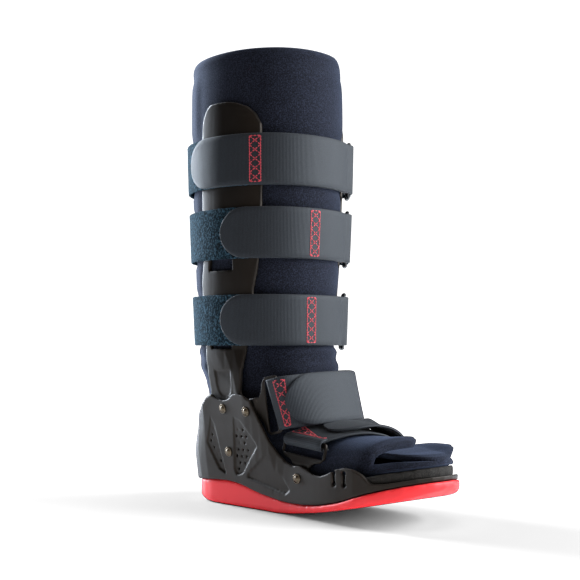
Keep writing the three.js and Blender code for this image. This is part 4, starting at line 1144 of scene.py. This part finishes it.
def bridge_base(name, near_turn, far_turn, reach, tilt, forward, lift):
    near = [Vector(v) for v in BARS[f"{name}_near"]]
    far = [Vector(v) for v in BARS[f"{name}_far"]]
    near[1] = turned_in(near, near_turn)
    far[1] = turned_in(far, far_turn)
    handles = [
        near[0] + near[1] * BAR_LEAD,
        near[0] + near[1] * (BAR_LEAD + reach),
        far[0] + far[1] * (BAR_LEAD + reach),
        far[0] + far[1] * BAR_LEAD,
    ]
    push = Vector((0, -forward, lift))
    slope = math.radians(tilt)
    middle_wide = Vector((0, math.cos(slope), math.sin(slope)))

    def bow(t):
        return 16 * t * t * (1 - t) * (1 - t)

    def middle(t):
        u = 1 - t
        spot = (handles[0] * u ** 3 + handles[1] * 3 * u * u * t
                + handles[2] * 3 * u * t * t + handles[3] * t ** 3)
        return spot + push * bow(t)

    spots = [middle(i / BRIDGE_STEPS) for i in range(BRIDGE_STEPS + 1)]
    lengths = [0.0]
    for spot, after in zip(spots, spots[1:]):
        lengths.append(lengths[-1] + (after - spot).length)
    bridge = lengths[-1]
    half_step = 0.5 / BRIDGE_STEPS

    def share(length):
        i = clamp(bisect.bisect_right(lengths, length) - 1, 0, BRIDGE_STEPS - 1)
        return (i + (length - lengths[i]) / (lengths[i + 1] - lengths[i])) / BRIDGE_STEPS

    def base(s, across, off):
        held = clamp(s - BAR_LEAD, 0, bridge)
        t = share(held)
        run = (middle(min(t + half_step, 1)) - middle(max(t - half_step, 0))).normalized()
        if s <= BAR_LEAD:
            run = near[1].normalized()
        if s >= BAR_LEAD + bridge:
            run = -far[1].normalized()
        spot = middle(t) + run * (s - BAR_LEAD - held)
        wide = near[2].lerp(far[2], t).lerp(middle_wide, bow(t))
        wide = (wide - run * wide.dot(run)).normalized()
        out = run.cross(wide).normalized()
        return spot + wide * across + out * off
    print(name, "middle of the bridge, mm:", [round(v, 1) for v in middle(0.5)])
    return base, bridge + BAR_LEAD * 2


def foot_webbing(name, base, length, near_turn, far_turn, tab, tail):
    high, place = fold_about(near_turn)
    far_high, far_place = fold_about(far_turn)
    over = high + FOLD_HEIGHT
    sewn = high - WEB_THICK - SEWN_GAP
    stations = (
        stretch(tail, BAR_LEAD, sewn, -high, 10)
        + stretch(BAR_LEAD, -place, -high, -high, 4)
        + fold_round(-place, 0, high, -1)
        + stretch(BAR_LEAD, tail + 2, high, high, 8)
        + stretch(tail + 2, length - BAR_LEAD, high, -far_high, 60)
        + stretch(length - BAR_LEAD, length + far_place, -far_high, -far_high, 4)
        + fold_round(length + far_place, 0, far_high, 1)
        + stretch(length - BAR_LEAD, tab + WEB_HALF, far_high, over, 40)
        + tab_end(tab, -1, over))
    return web_mesh(name, base, stations)


foot_bases = {}
for label, near_turn, far_turn, reach, tilt, tab, forward, lift, tail in FOOT_STRAPS:
    base, length = bridge_base(label, near_turn, far_turn, reach, tilt, forward, lift)
    foot_bases[label] = (base, fold_about(near_turn)[0])
    strap = new_piece(f"foot_strap_{label}",
                      foot_webbing(f"foot_strap_{label}", base, length, near_turn, far_turn, tab, tail),
                      webbing_cloth)
    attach(strap, "root")
    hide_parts(f"strap_{label}")
    print(label, "strap length, mm:", round(length, 1))

# %% [markdown]
# Rivets and stitches are one small shape set down many times, which is what Geometry
# Nodes is for. One tree does both. It puts a given head on every point of a mesh and
# stands it up along two directions that are stored on the points. Then the copies are
# made real, because a finished piece has to be plain mesh.

# %% A tree that sets a shape on points
def set_on_points():
    tree = bpy.data.node_groups.new("set on points", "GeometryNodeTree")
    for label, kind in (("Points", "NodeSocketGeometry"), ("Head", "NodeSocketObject"),
                        ("Size", "NodeSocketFloat"), ("Finish", "NodeSocketMaterial")):
        tree.interface.new_socket(label, in_out="INPUT", socket_type=kind)
    tree.interface.new_socket("Mesh", in_out="OUTPUT", socket_type="NodeSocketGeometry")
    start = tree.nodes.new("NodeGroupInput")
    end = tree.nodes.new("NodeGroupOutput")
    head = add(tree, "GeometryNodeObjectInfo")
    place = add(tree, "GeometryNodeInstanceOnPoints")
    turn = add(tree, "FunctionNodeAxesToRotation", primary_axis="Z", secondary_axis="X")
    for label, axis in (("facing", "Primary Axis"), ("run", "Secondary Axis")):
        stored = add(tree, "GeometryNodeInputNamedAttribute", data_type="FLOAT_VECTOR")
        set_inputs(stored, Name=label)
        join(tree, stored, "Attribute", turn, axis)
    real = add(tree, "GeometryNodeRealizeInstances")
    paint = add(tree, "GeometryNodeSetMaterial")
    join(tree, start, "Points", place, "Points")
    join(tree, start, "Head", head, "Object")
    join(tree, head, "Geometry", place, "Instance")
    join(tree, turn, "Rotation", place, "Rotation")
    join(tree, start, "Size", place, "Scale")
    join(tree, place, "Instances", real, "Geometry")
    join(tree, real, "Geometry", paint, "Geometry")
    join(tree, start, "Finish", paint, "Material")
    join(tree, paint, "Geometry", end, "Mesh")
    return tree


points_tree = set_on_points()


def spread(name, head, spots, facings, runs, material, size=1.0):
    mesh = bpy.data.meshes.new(name)
    mesh.from_pydata([tuple(p * MM) for p in spots], [], [])
    for label, values in (("facing", facings), ("run", runs)):
        layer = mesh.attributes.new(label, "FLOAT_VECTOR", "POINT")
        layer.data.foreach_set("vector", [x for v in values for x in v])
    piece = new_piece(name, mesh)
    nodes_on = piece.modifiers.new("spread", "NODES")
    nodes_on.node_group = points_tree
    given = {"Head": head, "Size": size, "Finish": material}
    for item in points_tree.interface.items_tree:
        if item.in_out == "INPUT" and item.name in given:
            nodes_on[item.identifier] = given[item.name]
    swap_mesh(piece, plain_mesh(piece))
    smooth_faces(piece.data)
    return piece


# %% [markdown]
# The rivet is a flanged head with a shallow ring round a dome, spun from a profile.
# Each one faces straight out of the plate that it holds.

# %% Rivets
RIVET_SIDES = 32
RIVET_SIZE = 0.86


def rivet_head():
    profile = [(0.0, 0.2), (5.0, 0.2), (5.0, 0.75), (4.7, 1.1), (4.1, 1.15), (3.55, 0.75),
               (3.1, 0.75), (2.9, 1.35), (2.2, 1.9), (1.1, 2.15), (0.0, 2.2)]
    skin = bmesh.new()
    rings = []
    for radius, height in profile:
        if radius == 0:
            rings.append([skin.verts.new(Vector((0, 0, height)) * MM)])
            continue
        rings.append([skin.verts.new(Vector((radius * a, radius * b, height)) * MM)
                      for a, b in circle(RIVET_SIDES)])
    for low, high in zip(rings, rings[1:]):
        for k in range(RIVET_SIDES):
            j = (k + 1) % RIVET_SIDES
            corners = [low[k % len(low)], low[j % len(low)], high[j % len(high)], high[k % len(high)]]
            skin.faces.new(list(dict.fromkeys(corners)))
    return mesh_of(skin, "rivet_head")


RIVETS = {
    "upper": ((-58.2, 12.0, 87.1), (-0.988, 0.0, -0.155)),
    "lower": ((-52.3, 11.0, 49.1), (-0.988, 0.0, -0.155)),
    "instep": ((-59.0, -20.0, 86.0), (-0.988, 0.0, -0.155)),
    "forefoot": ((-51.0, -76.0, 33.0), (-0.999, 0.0, -0.033)),
}
pattern = bpy.data.objects.new("rivet_pattern", rivet_head())
for side, flip in (("near", 1.0), ("far", -1.0)):
    mirror = Vector((flip, 1.0, 1.0))
    spots = [Vector(place) * mirror for place, _ in RIVETS.values()]
    facings = [Vector(facing) * mirror for _, facing in RIVETS.values()]
    runs = [Vector((0.0, 1.0, 0.0))] * len(spots)
    rivets = spread(f"rivets_{side}", pattern, spots, facings, runs, rivet_finish, RIVET_SIZE)
    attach(rivets, "root")
    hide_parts(*[f"rivet_{label}_{side}" for label in RIVETS])
print("rivets a side:", len(RIVETS))

# %% [markdown]
# The red stitching holds each fold shut: a long box of thread with a zigzag inside.
# It is worked out flat on the strap, as lines in millimetres, cut into stitches, and
# each stitch is set on the cloth's face.

# %% Stitches
STITCH_SIZE = (1.25, 0.46, 0.3)
STITCH_PITCH = 2.5
STITCH_LIFT = WEB_THICK / 2 + 0.1
STITCH_WIDE = 8.0
STITCH_HALF = 19.5
ZIGZAGS = 5


def stitch_pattern():
    skin = bmesh.new()
    bmesh.ops.create_uvsphere(skin, u_segments=8, v_segments=5, radius=1.0)
    long, wide, high = STITCH_SIZE
    for vert in skin.verts:
        vert.co = Vector((vert.co.z * long, vert.co.y * wide, vert.co.x * high)) * MM
    return bpy.data.objects.new("stitch", mesh_of(skin, "stitch"))


def box_lines(start, stop):
    half = STITCH_HALF
    lines = [((start, -half), (start, half)), ((stop, -half), (stop, half)),
             ((start, half), (stop, half)), ((start, -half), (stop, -half))]
    for i in range(ZIGZAGS):
        low = lerp(-half, half, i / ZIGZAGS)
        high = lerp(-half, half, (i + 1) / ZIGZAGS)
        crossed = [((start, low), (stop, high)), ((stop, low), (start, high))]
        lines += crossed if i % 2 == 0 else crossed[::-1]
    return lines


def stitches_on(base, height, lines):
    spots, facings, runs = [], [], []
    for (s0, a0), (s1, a1) in lines:
        length = math.hypot(s1 - s0, a1 - a0)
        count = max(1, round(length / STITCH_PITCH))
        for i in range(count):
            t = (i + 0.5) / count
            s = lerp(s0, s1, t)
            a = lerp(a0, a1, t)
            here = base(s, a, height)
            ds = (s1 - s0) / length * 0.3
            da = (a1 - a0) / length * 0.3
            spots.append(here)
            facings.append((base(s, a, height + 0.5) - here).normalized())
            runs.append((base(s + ds, a + da, height) - here).normalized())
    return spots, facings, runs


stitch = stitch_pattern()
stitch_rows = []
for label, middle, stitch_degrees, _ in LEG_STRAPS:
    place = math.radians(stitch_degrees) * STRAP_SCALE
    lines = box_lines(place - STITCH_WIDE / 2, place + STITCH_WIDE / 2)
    stitch_rows.append((label, girth_base(middle), LAYER_TWO + STITCH_LIFT, lines))
for label, start, stop in (("instep", 4.0, 9.5), ("forefoot", 3.0, 9.0)):
    base, high = foot_bases[label]
    stitch_rows.append((label, base, high + STITCH_LIFT, box_lines(start, stop)))
for label, base, height, lines in stitch_rows:
    sewn = spread(f"red_stitches_{label}", stitch, *stitches_on(base, height, lines), thread)
    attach(sewn, "root")
    print("stitches on", label, "faces:", len(sewn.data.polygons))
